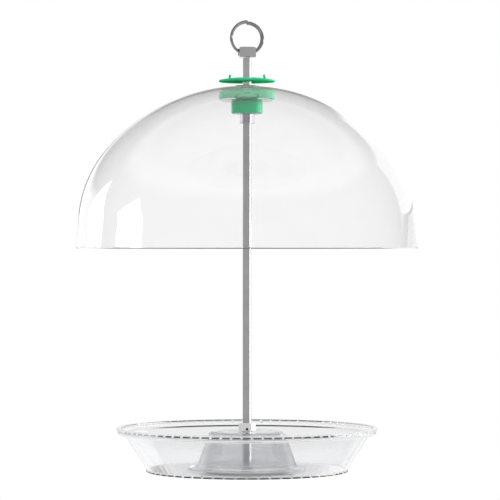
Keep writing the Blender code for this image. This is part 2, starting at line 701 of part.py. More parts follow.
def least_wire_gap(points):
    """The least gap between wire turns, from the centre line's points at least half a turn apart."""
    apart = RING_POINTS_PER_TURN // 2
    gaps = [(points[j] - points[i]).length
            for i in range(len(points)) for j in range(i + apart, len(points))]
    return min(gaps) - 2 * RING_WIRE_RADIUS


def make_hanging_ring():
    """The split ring: its origin is the middle of the finial's eye, which it swings about."""
    points = ring_points()
    print(f"hanging_ring: least gap between turns {least_wire_gap(points):.5f} m")
    curve = bpy.data.curves.new("hanging_ring", "CURVE")
    curve.dimensions = "3D"
    curve.bevel_depth = RING_WIRE_RADIUS
    curve.bevel_resolution = RING_BEVEL_RESOLUTION
    curve.use_fill_caps = True
    spline = curve.splines.new("POLY")
    spline.points.add(len(points) - 1)
    lift = Vector((0, 0, RING_RADIUS - RING_DROP))
    for spline_point, point in zip(spline.points, points):
        spline_point.co = (*(point + lift), 1)
    ring = place("hanging_ring", curve, dark_chrome)
    ring.location = (0, 0, finial_eye)
    ring.rotation_euler = (0, 0, FINIAL_TURN)


clear_scene()
make_pole()
make_tray_fastener()
make_tray()
make_seed_cone()
make_stop_collar()
make_dome()
make_hub_collar()
make_clamp_washer()
make_collet_nut()
make_collet_sleeve()
make_lock_disc()
make_finial()
make_hanging_ring()
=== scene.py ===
"""Looks of the hanging platform bird feeder: clear dome and tray, green hub, steel pole and split ring.

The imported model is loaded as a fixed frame. Each sub-assembly class below rebuilds its own pieces as fine
smooth meshes in the space of the frame's solids, gives them their finish and sets them on the body that
carries them. All lengths are in metres, +Z is up along the pole, and the tray stands on height zero.
"""

from __future__ import annotations

import logging
import math
import sys
from abc import ABC, abstractmethod
from dataclasses import dataclass, field
from enum import Enum
from functools import cache
from typing import Any, Callable, Iterable, Sequence

import bmesh
import bpy
from mathutils import Matrix, Vector


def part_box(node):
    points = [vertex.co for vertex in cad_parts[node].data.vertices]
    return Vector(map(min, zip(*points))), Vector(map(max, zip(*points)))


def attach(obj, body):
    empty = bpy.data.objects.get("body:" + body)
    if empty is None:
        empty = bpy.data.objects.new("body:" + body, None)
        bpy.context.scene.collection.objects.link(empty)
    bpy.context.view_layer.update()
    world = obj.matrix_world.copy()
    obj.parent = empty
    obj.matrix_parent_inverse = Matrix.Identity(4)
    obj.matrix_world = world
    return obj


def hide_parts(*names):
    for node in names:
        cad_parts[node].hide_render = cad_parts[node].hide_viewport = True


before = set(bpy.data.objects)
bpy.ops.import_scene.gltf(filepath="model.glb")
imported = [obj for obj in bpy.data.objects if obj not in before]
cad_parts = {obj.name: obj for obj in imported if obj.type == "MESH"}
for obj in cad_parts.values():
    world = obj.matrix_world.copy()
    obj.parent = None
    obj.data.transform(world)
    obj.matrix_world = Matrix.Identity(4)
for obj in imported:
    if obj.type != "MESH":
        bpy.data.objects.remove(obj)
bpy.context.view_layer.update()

log = logging.getLogger("feeder")

Point = tuple[float, float]
Outline = list[Point]
Colour = tuple[float, float, float]
Thing = bpy.types.Object
Socket = bpy.types.NodeSocket
Node = bpy.types.Node

SMOOTH_ANGLE = math.radians(30)
SEAM_DISTANCE = 0.0000005
ANGLE_DIGITS = 7
CUT_OVERRUN = 0.002
SEAT_GAP = 0.0003
SLIDE_GAP = 0.00035
FACE_WEIGHT = 80
HEXAGON_SIDES = 6
HEXAGON_CHAMFER = math.radians(30)
UPRIGHT_TO_FRONT = Matrix.Rotation(math.pi / 2, 4, "X")
UPRIGHT_TO_SIDE = Matrix.Rotation(math.pi / 2, 4, "Y")
PART_SEGMENTS = 96
HOLE_SEGMENTS = 48
FILLET_STEPS = 6
SOFT_DETAIL, MIDDLE_DETAIL, FINE_DETAIL = 1.0, 2.0, 3.0
NOISE_RANGE = (0.3, 0.7)
MIX_NUMBERS = (0, 2, 3)
MIX_COLOURS = (0, 6, 7)


class Body(Enum):
    """The bodies of the frame that pieces ride on."""

    POLE = "pole"
    HUB = "hub"
    DOME = "dome"
    COLLET = "collet"
    COLLET_NUT = "collet_nut"
    GRIP_RING = "grip_ring"
    LOCK_DISC = "lock_disc"
    HANGING_RING = "hanging_ring"


class Slot(Enum):
    """The material slots of the record, which each finish names."""

    BRIGHT_STEEL = "bright_steel"
    DARK_CHROME = "dark_chrome"
    BLACK_STEEL = "black_steel"
    CLEAR_PLASTIC = "clear_plastic"
    SMOKY_PLASTIC = "smoky_plastic"
    GREEN_PLASTIC = "green_plastic"
    RUBBER = "rubber"


class Operation(Enum):
    """How one mesh is combined with another."""

    UNION = "UNION"
    DIFFERENCE = "DIFFERENCE"
    INTERSECT = "INTERSECT"


class Maths(Enum):
    """What a Math node works out."""

    ADD = "ADD"
    SUBTRACT = "SUBTRACT"
    MULTIPLY = "MULTIPLY"
    MODULO = "MODULO"
    ABSOLUTE = "ABSOLUTE"
    MAXIMUM = "MAXIMUM"
    MINIMUM = "MINIMUM"
    GREATER_THAN = "GREATER_THAN"
    LESS_THAN = "LESS_THAN"
    ARCSINE = "ARCSINE"
    ARCTAN2 = "ARCTAN2"


@cache
def low(node: str) -> Vector:
    """The lowest corner of one of the frame's nodes."""
    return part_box(node)[0]


@cache
def high(node: str) -> Vector:
    """The highest corner of one of the frame's nodes."""
    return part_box(node)[1]


def ends(node: str) -> Point:
    """Heights of a node's bottom and top."""
    return low(node).z, high(node).z


def spin(angle: float) -> Matrix:
    """A turn about the pole."""
    return Matrix.Rotation(angle, 4, "Z")


def lift(height: float) -> Matrix:
    """A move up the pole."""
    return Matrix.Translation((0, 0, height))


def even_turns(count: int, first: float = 0.0) -> list[float]:
    """Angles spread evenly over one turn."""
    return [first + math.tau * index / count for index in range(count)]


def arc(centre: Point, radius: float, start: float, end: float, steps: int) -> Outline:
    """Points of an arc in the plane of an outline.

    Args:
        centre: Middle of the arc, as (across, up).
        radius: Radius of the arc.
        start: First angle, measured up from the outward direction.
        end: Last angle.
        steps: Number of straight steps along the arc.

    Returns:
        The points from the first angle to the last.
    """
    angles = [start + (end - start) * step / steps for step in range(steps + 1)]
    return [(centre[0] + radius * math.cos(a), centre[1] + radius * math.sin(a)) for a in angles]


def rounded(corners: Sequence[tuple[float, ...]], steps: int = FILLET_STEPS) -> Outline:
    """The closed outline through corners, some of them with a fillet.

    Args:
        corners: Corners as (across, up) or (across, up, fillet radius).
        steps: Number of straight steps along each fillet.

    Returns:
        The outline's points in order.
    """
    outline: Outline = []
    for index, corner in enumerate(corners):
        here = Vector(corner[:2])
        if len(corner) == 2:
            outline.append((here.x, here.y))
            continue
        back = (Vector(corners[index - 1][:2]) - here).normalized()
        onward = (Vector(corners[(index + 1) % len(corners)][:2]) - here).normalized()
        half = back.angle(onward) / 2
        sweep = math.pi - 2 * half
        centre = here + (back + onward).normalized() * (corner[2] / math.sin(half))
        first = here + back * (corner[2] / math.tan(half)) - centre
        last = here + onward * (corner[2] / math.tan(half)) - centre
        for step in range(steps + 1):
            part = sweep * step / steps
            spoke = (first * math.sin(sweep - part) + last * math.sin(part)) / math.sin(sweep)
            outline.append((centre.x + spoke.x, centre.y + spoke.y))
    return outline


def smooth(mesh: bpy.types.Mesh) -> None:
    """Shades a mesh smooth between its edges."""
    mesh.shade_smooth()
    mesh.set_sharp_from_angle(angle=SMOOTH_ANGLE)


def finished(bm: bmesh.types.BMesh, name: str) -> Thing:
    """The smooth object made from a bmesh, with its faces turned outwards.

    Args:
        bm: The bmesh, which is freed.
        name: Name of the object.

    Returns:
        The object, linked to the scene.
    """
    bmesh.ops.remove_doubles(bm, verts=bm.verts, dist=SEAM_DISTANCE)
    bmesh.ops.dissolve_degenerate(bm, edges=bm.edges, dist=SEAM_DISTANCE)
    bmesh.ops.recalc_face_normals(bm, faces=bm.faces)
    mesh = bpy.data.meshes.new(name)
    bm.to_mesh(mesh)
    bm.free()
    smooth(mesh)
    thing = bpy.data.objects.new(name, mesh)
    bpy.context.scene.collection.objects.link(thing)
    return thing


def skin(bm: bmesh.types.BMesh, ring: Sequence[Any], onward: Sequence[Any]) -> None:
    """Joins two rings of as many points with a band of faces.

    Args:
        bm: The bmesh.
        ring: Points of one ring.
        onward: Points of the other.
    """
    for index in range(len(ring)):
        following = (index + 1) % len(ring)
        bm.faces.new((ring[index], ring[following], onward[following], onward[index]))


def lathe(name: str, section: Callable[[float], Outline], angles: Sequence[float]) -> Thing:
    """A closed solid whose section may change as it goes round the pole.

    Args:
        name: Name of the object.
        section: Gives the closed outline at an angle, with the same number of points at every angle.
        angles: The angles at which the section is set, in rising order over one turn.

    Returns:
        The object.
    """
    bm = bmesh.new()
    rings = []
    for angle in angles:
        across = (math.cos(angle), math.sin(angle))
        rings.append([bm.verts.new((r * across[0], r * across[1], z)) for r, z in section(angle)])
    for ring, onward in zip(rings, rings[1:] + rings[:1]):
        skin(bm, ring, onward)
    return finished(bm, name)


def turned(name: str, outline: Outline, segments: int) -> Thing:
    """A solid of revolution about the pole's axis.

    Args:
        name: Name of the object.
        outline: Closed outline as (radius, height) points.
        segments: Number of steps round the axis.

    Returns:
        The object.
    """
    return lathe(name, lambda angle: outline, even_turns(segments))


def prism(name: str, outline: Outline, thickness: float, placing: Matrix) -> Thing:
    """An outline extruded both ways along Y and then placed.

    Args:
        name: Name of the object.
        outline: Closed outline as (across, up) points.
        thickness: Whole thickness along Y.
        placing: Where the prism goes.

    Returns:
        The object.
    """
    bm = bmesh.new()
    rows = []
    for side in (-thickness / 2, thickness / 2):
        rows.append([bm.verts.new(placing @ Vector((across, side, up))) for across, up in outline])
    bm.faces.new(rows[0])
    bm.faces.new(rows[1])
    skin(bm, *rows)
    return finished(bm, name)


def bar(name: str, radius: float, length: float, placing: Matrix, sides: int) -> Thing:
    """A round or many-sided bar along Z, then placed.

    Args:
        name: Name of the object.
        radius: Radius to the corners.
        length: Whole length.
        placing: Where the bar's middle goes.
        sides: Number of sides.

    Returns:
        The object.
    """
    bm = bmesh.new()
    bmesh.ops.create_cone(bm, cap_ends=True, segments=sides, radius1=radius, radius2=radius, depth=length,
                          matrix=placing)
    return finished(bm, name)


def settle(thing: Thing) -> None:
    """Applies an object's modifiers to its mesh.

    Args:
        thing: The object.
    """
    graph = bpy.context.evaluated_depsgraph_get()
    mesh = bpy.data.meshes.new_from_object(thing.evaluated_get(graph))
    thing.modifiers.clear()
    thing.data = mesh
    mesh.name = thing.name


def even_out(thing: Thing) -> None:
    """Keeps large flat faces flat in the shading next to small rounded ones.

    Args:
        thing: The object.
    """
    weighted = thing.modifiers.new("even_normals", "WEIGHTED_NORMAL")
    weighted.keep_sharp = True
    weighted.weight = FACE_WEIGHT
    settle(thing)


def combine(thing: Thing, others: Sequence[Thing], operation: Operation) -> None:
    """Joins other meshes into a mesh, or cuts it by them, and removes them.

    Args:
        thing: The mesh that is changed.
        others: The meshes that are used up.
        operation: How they are combined.
    """
    for other in others:
        boolean = thing.modifiers.new(other.name, "BOOLEAN")
        boolean.operation = operation.value
        boolean.solver = "EXACT"
        boolean.object = other
    settle(thing)
    smooth(thing.data)
    for other in others:
        bpy.data.objects.remove(other)


def soften(thing: Thing, width: float, segments: int = 2) -> None:
    """Breaks a mesh's sharp edges with a small round.

    Args:
        thing: The mesh.
        width: Width of the round.
        segments: Number of steps across it.
    """
    bevel = thing.modifiers.new("edge_round", "BEVEL")
    bevel.width = width
    bevel.segments = segments
    bevel.limit_method = "ANGLE"
    bevel.angle_limit = SMOOTH_ANGLE
    bevel.harden_normals = False
    settle(thing)
    smooth(thing.data)


def wire(name: str, points: Sequence[Vector], radius: float, sides: int) -> Thing:
    """A round wire along a line of points, with rounded cut ends.

    Args:
        name: Name of the object.
        points: The wire's centre line.
        radius: Radius of the wire.
        sides: Number of sides of its section.

    Returns:
        The object.
    """
    bm = bmesh.new()
    heads = [(points[onward] - points[onward - 1]).normalized() for onward in range(1, len(points))]
    aims = [heads[0]] + [(a + b).normalized() for a, b in zip(heads, heads[1:])] + [heads[-1]]
    side = aims[0].orthogonal().normalized()
    rings = []
    for point, aim in zip(points, aims):
        side = (side - side.dot(aim) * aim).normalized()
        other = aim.cross(side)
        spokes = [side * math.cos(a) + other * math.sin(a) for a in even_turns(sides)]
        rings.append([bm.verts.new(point + spoke * radius) for spoke in spokes])
    for ring, onward in zip(rings, rings[1:]):
        skin(bm, ring, onward)
    bm.faces.new(rings[0][::-1])
    bm.faces.new(rings[-1])
    return finished(bm, name)


@dataclass
class NodeSheet:
    """A material's or a world's node tree, with short calls to add and join nodes."""

    tree: bpy.types.NodeTree

    @property
    def shader(self) -> Node:
        """The material's Principled shader."""
        return self.tree.nodes["Principled BSDF"]

    def add(self, kind: str, **settings: Any) -> Node:
        """Adds a node.

        Args:
            kind: The node's type, without its common first word.
            settings: Properties of the node, or values of its inputs by name with _ for spaces.

        Returns:
            The node.
        """
        node = self.tree.nodes.new("ShaderNode" + kind)
        for key, value in settings.items():
            if hasattr(node, key):
                setattr(node, key, value)
            else:
                self.assign(node, **{key: value})
        return node

    def assign(self, node: Node, **values: Any) -> None:
        """Sets inputs of a node, by name with _ for spaces.

        Args:
            node: The node.
            values: The inputs' values.
        """
        for key, value in values.items():
            node.inputs[key.replace("_", " ")].default_value = value

    def join(self, source: Socket, target: Socket) -> None:
        """Joins an output to an input."""
        self.tree.links.new(source, target)

    def feed(self, targets: Iterable[Socket], values: Sequence[Any]) -> None:
        """Gives inputs their values, which are sockets or plain values.

        Args:
            targets: The inputs.
            values: As many values or fewer.
        """
        for target, value in zip(targets, values):
            if isinstance(value, Socket):
                self.join(value, target)
            else:
                target.default_value = value

    def maths(self, operation: Maths, first: Any, *others: Any) -> Socket:
        """Math nodes on sockets or numbers, worked out from the first to the last.

        Args:
            operation: What each node works out.
            first: First socket or number.
            others: The ones after it, or none where it stands alone or goes with zero.

        Returns:
            The last node's output.
        """
        result = first
        for other in others or (0.0,):
            node = self.add("Math", operation=operation.value)
            self.feed(node.inputs, (result, other))
            result = node.outputs[0]
        return result

    def noise(self, scale: Sequence[float], detail: float = MIDDLE_DETAIL) -> Socket:
        """Noise over the piece's own space.

        Args:
            scale: Grains per metre along each axis.
            detail: How many finer layers it has.

        Returns:
            The noise value, near one half on average.
        """
        stretch = self.add("Mapping", Scale=scale)
        grain = self.add("TexNoise", Scale=1.0, Detail=detail)
        self.join(self.add("TexCoord").outputs["Object"], stretch.inputs["Vector"])
        self.join(stretch.outputs["Vector"], grain.inputs["Vector"])
        return grain.outputs["Fac"]

    def spread(self, source: Socket, least: float = 0.0, most: float = 1.0) -> Socket:
        """Stretches the middle of a noise over a range of values.

        Args:
            source: The noise.
            least: Value at the noise's low end.
            most: Value at its high end.

        Returns:
            The new value.
        """
        node = self.add("MapRange", clamp=True, From_Min=NOISE_RANGE[0], From_Max=NOISE_RANGE[1],
                        To_Min=least, To_Max=most)
        self.join(source, node.inputs["Value"])
        return node.outputs["Result"]

    def blend(self, share: Socket, first: Colour, second: Colour) -> Socket:
        """A colour between two colours.

        Args:
            share: How far towards the second colour.
            first: First colour.
            second: Second colour.

        Returns:
            The mixed colour.
        """
        node = self.add("Mix", data_type="RGBA")
        self.feed([node.inputs[place] for place in MIX_COLOURS], (share, (*first, 1), (*second, 1)))
        return node.outputs[2]

    def step(self, source: Socket, start: float, end: float) -> Socket:
        """A soft step from zero to one.

        Args:
            source: The value that is tested.
            start: Where the step is still zero.
            end: Where it reaches one, above or below the start.

        Returns:
            The step.
        """
        node = self.add("MapRange", clamp=True, interpolation_type="SMOOTHSTEP", From_Min=start, From_Max=end)
        self.join(source, node.inputs["Value"])
        return node.outputs["Result"]

    def all_of(self, *steps: Socket) -> Socket:
        """The least of several steps, which is one only where all of them are."""
        return self.maths(Maths.MINIMUM, *steps)

    def any_of(self, *steps: Any) -> Socket:
        """The most of several steps, which is one where any of them is."""
        return self.maths(Maths.MAXIMUM, *steps)

    def opposite(self, step: Socket) -> Socket:
        """One where a step is zero, and zero where it is one."""
        return self.maths(Maths.SUBTRACT, 1.0, step)

    def choose(self, test: Socket, no: Any, yes: Any) -> Socket:
        """A value between two, by a test from zero to one.

        Args:
            test: The test.
            no: Socket or number where the test is zero.
            yes: Socket or number where it is one.

        Returns:
            The chosen value.
        """
        node = self.add("Mix", data_type="FLOAT")
        self.feed([node.inputs[place] for place in MIX_NUMBERS], (test, no, yes))
        return node.outputs[0]

    def let_pass(self, share: Socket, shade: Colour) -> None:
        """Lets a share of the rays through the surface, and joins the result to the output.

        Args:
            share: The share that passes.
            shade: The colour that the passing rays take on.
        """
        through = self.add("BsdfTransparent", Color=(*shade, 1))
        mix = self.add("MixShader")
        self.feed(mix.inputs, (share, self.shader.outputs[0], through.outputs[0]))
        self.join(mix.outputs[0], self.tree.nodes["Material Output"].inputs["Surface"])

    def bump(self, source: Socket, height: float) -> Socket:
        """A normal roughened by a noise.

        Args:
            source: The noise.
            height: Height of the relief in metres.

        Returns:
            The normal.
        """
        node = self.add("Bump", Strength=1.0, Distance=height)
        self.join(source, node.inputs["Height"])
        return node.outputs["Normal"]


@dataclass(frozen=True)
class Finish(ABC):
    """The finish of one kind of surface."""

    name: str
    slot: Slot
    tone: Colour
    second_tone: Colour
    roughness: Point

    def material(self) -> bpy.types.Material:
        """The finish's material, made at its first use.

        Returns:
            The material.
        """
        known = bpy.data.materials.get(self.name)
        if known is not None:
            return known
        material = bpy.data.materials.new(self.name)
        material.use_nodes = True
        self.paint(NodeSheet(material.node_tree))
        return material

    @abstractmethod
    def paint(self, sheet: NodeSheet) -> None:
        """Sets the shader and its textures.

        Args:
            sheet: The material's nodes.
        """

    def coat(self, sheet: NodeSheet, mottle: Socket, grain: Socket, relief: Socket, height: float) -> None:
        """Gives the shader its mottled colour, its roughness and its relief.

        Args:
            sheet: The material's nodes.
            mottle: Noise between the two tones.
            grain: Noise of the roughness.
            relief: Noise of the relief.
            height: Height of the relief in metres.
        """
        inputs = sheet.shader.inputs
        sheet.join(sheet.blend(mottle, self.tone, self.second_tone), inputs["Base Color"])
        sheet.join(sheet.spread(grain, *self.roughness), inputs["Roughness"])
        sheet.join(sheet.bump(relief, height), inputs["Normal"])


@dataclass(frozen=True)
class DrawnMetal(Finish):
    """Polished metal with faint marks along the way it was drawn or turned."""

    marks: tuple[float, float, float]
    mark_height: float
    metal: float = 1.0
    cloud: float = 90.0

    def paint(self, sheet: NodeSheet) -> None:
        """Draws the marks and the faint cloudiness of handled metal.

        Args:
            sheet: The material's nodes.
        """
        marks = sheet.noise(self.marks, FINE_DETAIL)
        cloud = sheet.noise((self.cloud,) * 3)
        sheet.assign(sheet.shader, Metallic=self.metal)
        self.coat(sheet, sheet.spread(cloud), marks, marks, self.mark_height)


@dataclass(frozen=True)
class MouldedPlastic(Finish):
    """Glossy opaque plastic with the faint swirl of its mould."""

    glow: float
    shine: float
    index: float = 1.5
    glow_reach: tuple[float, float, float] = (0.4, 1.0, 0.6)
    glow_depth: float = 0.002
    swirl: tuple[float, float, float] = (60.0, 60.0, 110.0)
    peel: float = 700.0
    peel_height: float = 0.000004

    def paint(self, sheet: NodeSheet) -> None:
        """Sets the swirl, the fine orange peel and the light that enters the plastic.

        Args:
            sheet: The material's nodes.
        """
        swirl = sheet.noise(self.swirl, FINE_DETAIL)
        peel = sheet.noise((self.peel,) * 3)
        sheet.assign(sheet.shader, IOR=self.index, Specular_IOR_Level=self.shine,
                     Subsurface_Weight=self.glow, Subsurface_Radius=self.glow_reach,
                     Subsurface_Scale=self.glow_depth)
        self.coat(sheet, sheet.spread(swirl), peel, peel, self.peel_height)


@dataclass(frozen=True)
class ClearPlastic(Finish):
    """Clear moulded plastic that lets the lamps through to what stands behind it."""

    index: float
    ripple: float
    shade: Colour
    ease: float = 0.0
    flow: tuple[float, float, float] = (22.0, 22.0, 40.0)
    haze: float = 55.0
    piped_bounces: int = 3

    def paint(self, sheet: NodeSheet) -> None:
        """Sets the tint, the faint flow ripple and the way shadows and mirrored light pass.

        Args:
            sheet: The material's nodes.
        """
        flow = sheet.noise(self.flow, SOFT_DETAIL)
        haze = sheet.noise((self.haze,) * 3)
        sheet.assign(sheet.shader, IOR=self.index, Transmission_Weight=1.0)
        self.coat(sheet, sheet.spread(haze), haze, flow, self.ripple)
        path = sheet.add("LightPath").outputs
        in_air = sheet.opposite(sheet.maths(Maths.MODULO, path["Transmission Depth"], 2.0))
        mirrored = sheet.maths(Maths.MULTIPLY, path["Is Reflection Ray"], in_air)
        piped = sheet.maths(Maths.GREATER_THAN, path["Glossy Depth"], self.piped_bounces - 1)
        passing = sheet.any_of(path["Is Shadow Ray"], path["Is Diffuse Ray"], mirrored, piped, self.ease)
        sheet.let_pass(passing, self.shade)


@dataclass(frozen=True)
class MattRubber(Finish):
    """Dull black rubber with a fine grain."""

    grain: float = 900.0
    grain_height: float = 0.00002

    def paint(self, sheet: NodeSheet) -> None:
        """Sets the grain."""
        grain = sheet.noise((self.grain,) * 3, FINE_DETAIL)
        self.coat(sheet, grain, grain, grain, self.grain_height)


BRIGHT_STEEL = DrawnMetal(
    "bright_steel_drawn", Slot.BRIGHT_STEEL, (0.60, 0.60, 0.61), (0.66, 0.66, 0.67), (0.05, 0.1),
    (1500.0, 1500.0, 18.0), 0.0000005)
TURNED_STEEL = DrawnMetal(
    "bright_steel_turned", Slot.BRIGHT_STEEL, (0.62, 0.62, 0.63), (0.68, 0.68, 0.69), (0.03, 0.05),
    (120.0, 120.0, 2500.0), 0.000001)
# Stop collar's steel: its satin roughness is real, but its near-white, mostly non-metal tone is painted
# reflection of the white studio that bright steel would mirror.
SATIN_STEEL_PAINTED_REFLECTION = DrawnMetal(
    "satin_steel_collar_painted_reflection", Slot.BRIGHT_STEEL, (0.93, 0.93, 0.94), (0.97, 0.97, 0.98), (0.4, 0.5),
    (120.0, 120.0, 2500.0), 0.0000015, 0.15)
DARK_CHROME = DrawnMetal(
    "dark_chrome_wire", Slot.DARK_CHROME, (0.28, 0.28, 0.285), (0.34, 0.34, 0.345), (0.03, 0.07),
    (600.0, 600.0, 600.0), 0.000001)
BLACK_STEEL = DrawnMetal(
    "black_oxide_steel", Slot.BLACK_STEEL, (0.035, 0.035, 0.04), (0.06, 0.06, 0.065), (0.3, 0.45),
    (900.0, 900.0, 900.0), 0.000004)
GREEN_PLASTIC = MouldedPlastic(
    "green_moulded_plastic", Slot.GREEN_PLASTIC, (0.03, 0.62, 0.27), (0.04, 0.68, 0.31), (0.1, 0.16),
    0.06, 0.4)
DISC_PLASTIC = MouldedPlastic(
    "green_disc_plastic", Slot.GREEN_PLASTIC, (0.04, 0.54, 0.24), (0.06, 0.60, 0.275), (0.3, 0.4),
    0.06, 0.0)
DOME_PLASTIC = ClearPlastic(
    "clear_dome_plastic", Slot.CLEAR_PLASTIC, (0.985, 0.985, 0.985), (0.995, 0.995, 0.995), (0.0, 0.01),
    1.49, 0.00002, (0.96, 0.96, 0.96))
TRAY_PLASTIC = ClearPlastic(
    "clear_tray_plastic", Slot.CLEAR_PLASTIC, (0.89, 0.893, 0.90), (0.90, 0.903, 0.91), (0.0, 0.012),
    1.53, 0.00001, (0.95, 0.952, 0.958))
CONE_PLASTIC = ClearPlastic(
    "clear_cone_plastic", Slot.CLEAR_PLASTIC, (0.79, 0.795, 0.802), (0.82, 0.825, 0.832), (0.0, 0.02),
    1.53, 0.00001, (0.905, 0.907, 0.912), 0.35)
SMOKY_PLASTIC = ClearPlastic(
    "smoky_collet_plastic", Slot.SMOKY_PLASTIC, (0.90, 0.87, 0.92), (0.94, 0.91, 0.96), (0.05, 0.12),
    1.45, 0.00001, (0.92, 0.90, 0.93))
GRIP_RUBBER = MattRubber(
    "black_grip_rubber", Slot.RUBBER, (0.018, 0.018, 0.018), (0.032, 0.032, 0.033), (0.55, 0.8))


@dataclass
class Piece:
    """One visible piece: its mesh, what it stands for and what it rides on."""

    thing: Thing
    node: str
    body: Body
    finish: Finish

    def fit(self) -> None:
        """Gives the piece its finish and fixes it to the frame in place of its plain solid."""
        self.thing.data.materials.clear()
        self.thing.data.materials.append(self.finish.material())
        even_out(self.thing)
        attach(self.thing, self.body.value)
        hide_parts(self.node)
        log.info("%s on %s in %s, %d faces", self.thing.name, self.body.value, self.finish.slot.value,
                 len(self.thing.data.polygons))


@dataclass
class SubAssembly(ABC):
    """Pieces that are built together and then dressed."""

    pieces: list[Piece] = field(default_factory=list, init=False)

    def take(self, thing: Thing, node: str, body: Body, finish: Finish) -> None:
        """Adds a piece to the sub-assembly.

        Args:
            thing: The piece's mesh.
            node: The frame's node that it stands for.
            body: The body that it rides on.
            finish: Its finish, which names the record's material slot.
        """
        self.pieces.append(Piece(thing, node, body, finish))

    @abstractmethod
    def build(self) -> None:
        """Builds the meshes of the sub-assembly."""

    def dress(self) -> None:
        """Finishes every piece and fixes it to the frame."""
        for piece in self.pieces:
            piece.fit()


def guide_radius() -> float:
    """Radius of the bores that slide on the pole."""
    return high("pole").x + SLIDE_GAP


def corner_radius(flats: float) -> float:
    """Radius of a cutter that clears the corners of a hexagon of a size across its flats."""
    return flats / 2 / math.cos(math.pi / HEXAGON_SIDES) + SEAT_GAP


def hexagon(name: str, flats: float, heights: Point, bore: float, turn: float,
            spigot: Sequence[Point] = ()) -> Thing:
    """A hexagon piece with chamfered ends: a hexagon bar cut to a turned outline.

    Args:
        name: Name of the object.
        flats: Size across the flats.
        heights: Heights of its bottom and its top.
        bore: Radius of its bore.
        turn: Turn of the bar about the pole.
        spigot: Outline of a spigot under it, from the axis to the bottom.

    Returns:
        The object.
    """
    bottom, top = heights
    face = flats / 2
    outside = corner_radius(flats)
    chamfer = (outside - face) * math.tan(HEXAGON_CHAMFER)
    outline = [*(spigot or [(bore, bottom)]), (face, bottom), (outside, bottom + chamfer),
               (outside, top - chamfer), (face, top), (bore, top)]
    lowest = outline[0][1] - CUT_OVERRUN
    highest = top + CUT_OVERRUN
    placing = lift((lowest + highest) / 2) @ spin(turn)
    piece = bar(name, face / math.cos(math.pi / HEXAGON_SIDES), highest - lowest, placing, HEXAGON_SIDES)
    combine(piece, [turned(f"{name}_turning", outline, PART_SEGMENTS)], Operation.INTERSECT)
    return piece


def washer(name: str, node: str, bore: float, segments: int, steps: int) -> Thing:
    """A flat washer with a rounded rim.

    Args:
        name: Name of the object.
        node: The frame's node whose place and radius it takes.
        bore: Radius of its bore.
        segments: Number of steps round the axis.
        steps: Number of steps along each fillet.

    Returns:
        The object.
    """
    bottom, top = ends(node)
    radius = high(node).x
    edge = (top - bottom) / 4
    return turned(name, rounded([(bore, bottom), (radius, bottom, edge), (radius, top, edge), (bore, top)],
                                steps), segments)


@dataclass
class Hanger(SubAssembly):
    """The pole with its finial and the split ring that the feeder hangs from."""

    pole_chamfer: float = 0.0004
    pole_bore: float = 0.0023
    pole_bore_depth: float = 0.0125
    stud_radius: float = 0.003
    shoulder_height: float = 0.0077
    finial_flats: float = 0.0147
    finial_turn: float = math.radians(9)
    eye_radius: float = 0.0035
    eye_lift: float = 0.0045
    finial_height: float = 0.009
    finial_round: float = 0.0003
    round_steps: int = 3
    spigot_radius: float = 0.002
    spigot_chamfer: float = 0.0004
    wire_radius: float = 0.001
    ring_radius: float = 0.01465
    ring_shrink: float = 0.0009
    ring_pitch: float = 0.0022
    ring_turns: int = 2
    ring_drop: float = 0.0022
    points_per_turn: int = 120
    wire_sides: int = 24

    def build(self) -> None:
        """Builds the pole, the finial and the ring."""
        self.take(self.pole(), "pole", Body.POLE, BRIGHT_STEEL)
        self.take(self.finial(), "finial", Body.POLE, TURNED_STEEL)
        self.take(self.ring(), "hanging_ring", Body.HANGING_RING, DARK_CHROME)

    def pole(self) -> Thing:
        """The rod, with its tapped bore on top and its stud through the tray.

        Returns:
            The object.
        """
        radius = high("pole").x
        bottom, top = ends("pole")
        bore_end = top - self.pole_bore_depth
        outline = [
            (0.0, bore_end),
            (self.pole_bore, bore_end),
            (self.pole_bore, top),
            (radius - self.pole_chamfer, top),
            (radius, top - self.pole_chamfer),
            (radius, self.shoulder_height),
            (self.stud_radius, self.shoulder_height),
            (self.stud_radius, bottom + self.pole_chamfer),
            (self.stud_radius - self.pole_chamfer, bottom),
            (0.0, bottom),
        ]
        return turned("pole_rod", outline, PART_SEGMENTS)

    def finial(self) -> Thing:
        """The hexagon head with its cross eye and its spigot.

        Returns:
            The object.
        """
        spigot_end, top = ends("finial")
        bottom = top - self.finial_height
        spigot = [
            (0.0, spigot_end),
            (self.spigot_radius - self.spigot_chamfer, spigot_end),
            (self.spigot_radius, spigot_end + self.spigot_chamfer),
            (self.spigot_radius, bottom),
        ]
        head = hexagon("finial_head", self.finial_flats, (bottom, top), 0.0, self.finial_turn, spigot)
        placing = lift(bottom + self.eye_lift) @ (spin(self.finial_turn) @ UPRIGHT_TO_SIDE)
        length = 2 * corner_radius(self.finial_flats)
        eye = bar("finial_eye_cutter", self.eye_radius, length, placing, HOLE_SEGMENTS)
        combine(head, [eye], Operation.DIFFERENCE)
        soften(head, self.finial_round, self.round_steps)
        return head

    def ring(self) -> Thing:
        """The split ring, which swings about the middle of the finial's eye.

        Returns:
            The object.
        """
        points = []
        steps = self.ring_turns * self.points_per_turn
        eye = high("finial").z - self.finial_height + self.eye_lift
        placing = lift(eye + self.ring_radius - self.ring_drop) @ spin(self.finial_turn)
        for step in range(steps + 1):
            turn = step / self.points_per_turn
            angle = math.pi / 2 + math.tau * turn
            radius = self.ring_radius - self.ring_shrink * turn
            aside = self.ring_pitch * (turn - self.ring_turns / 2)
            points.append(placing @ Vector((radius * math.cos(angle), aside, radius * math.sin(angle))))
        return wire("split_ring", points, self.wire_radius, self.wire_sides)


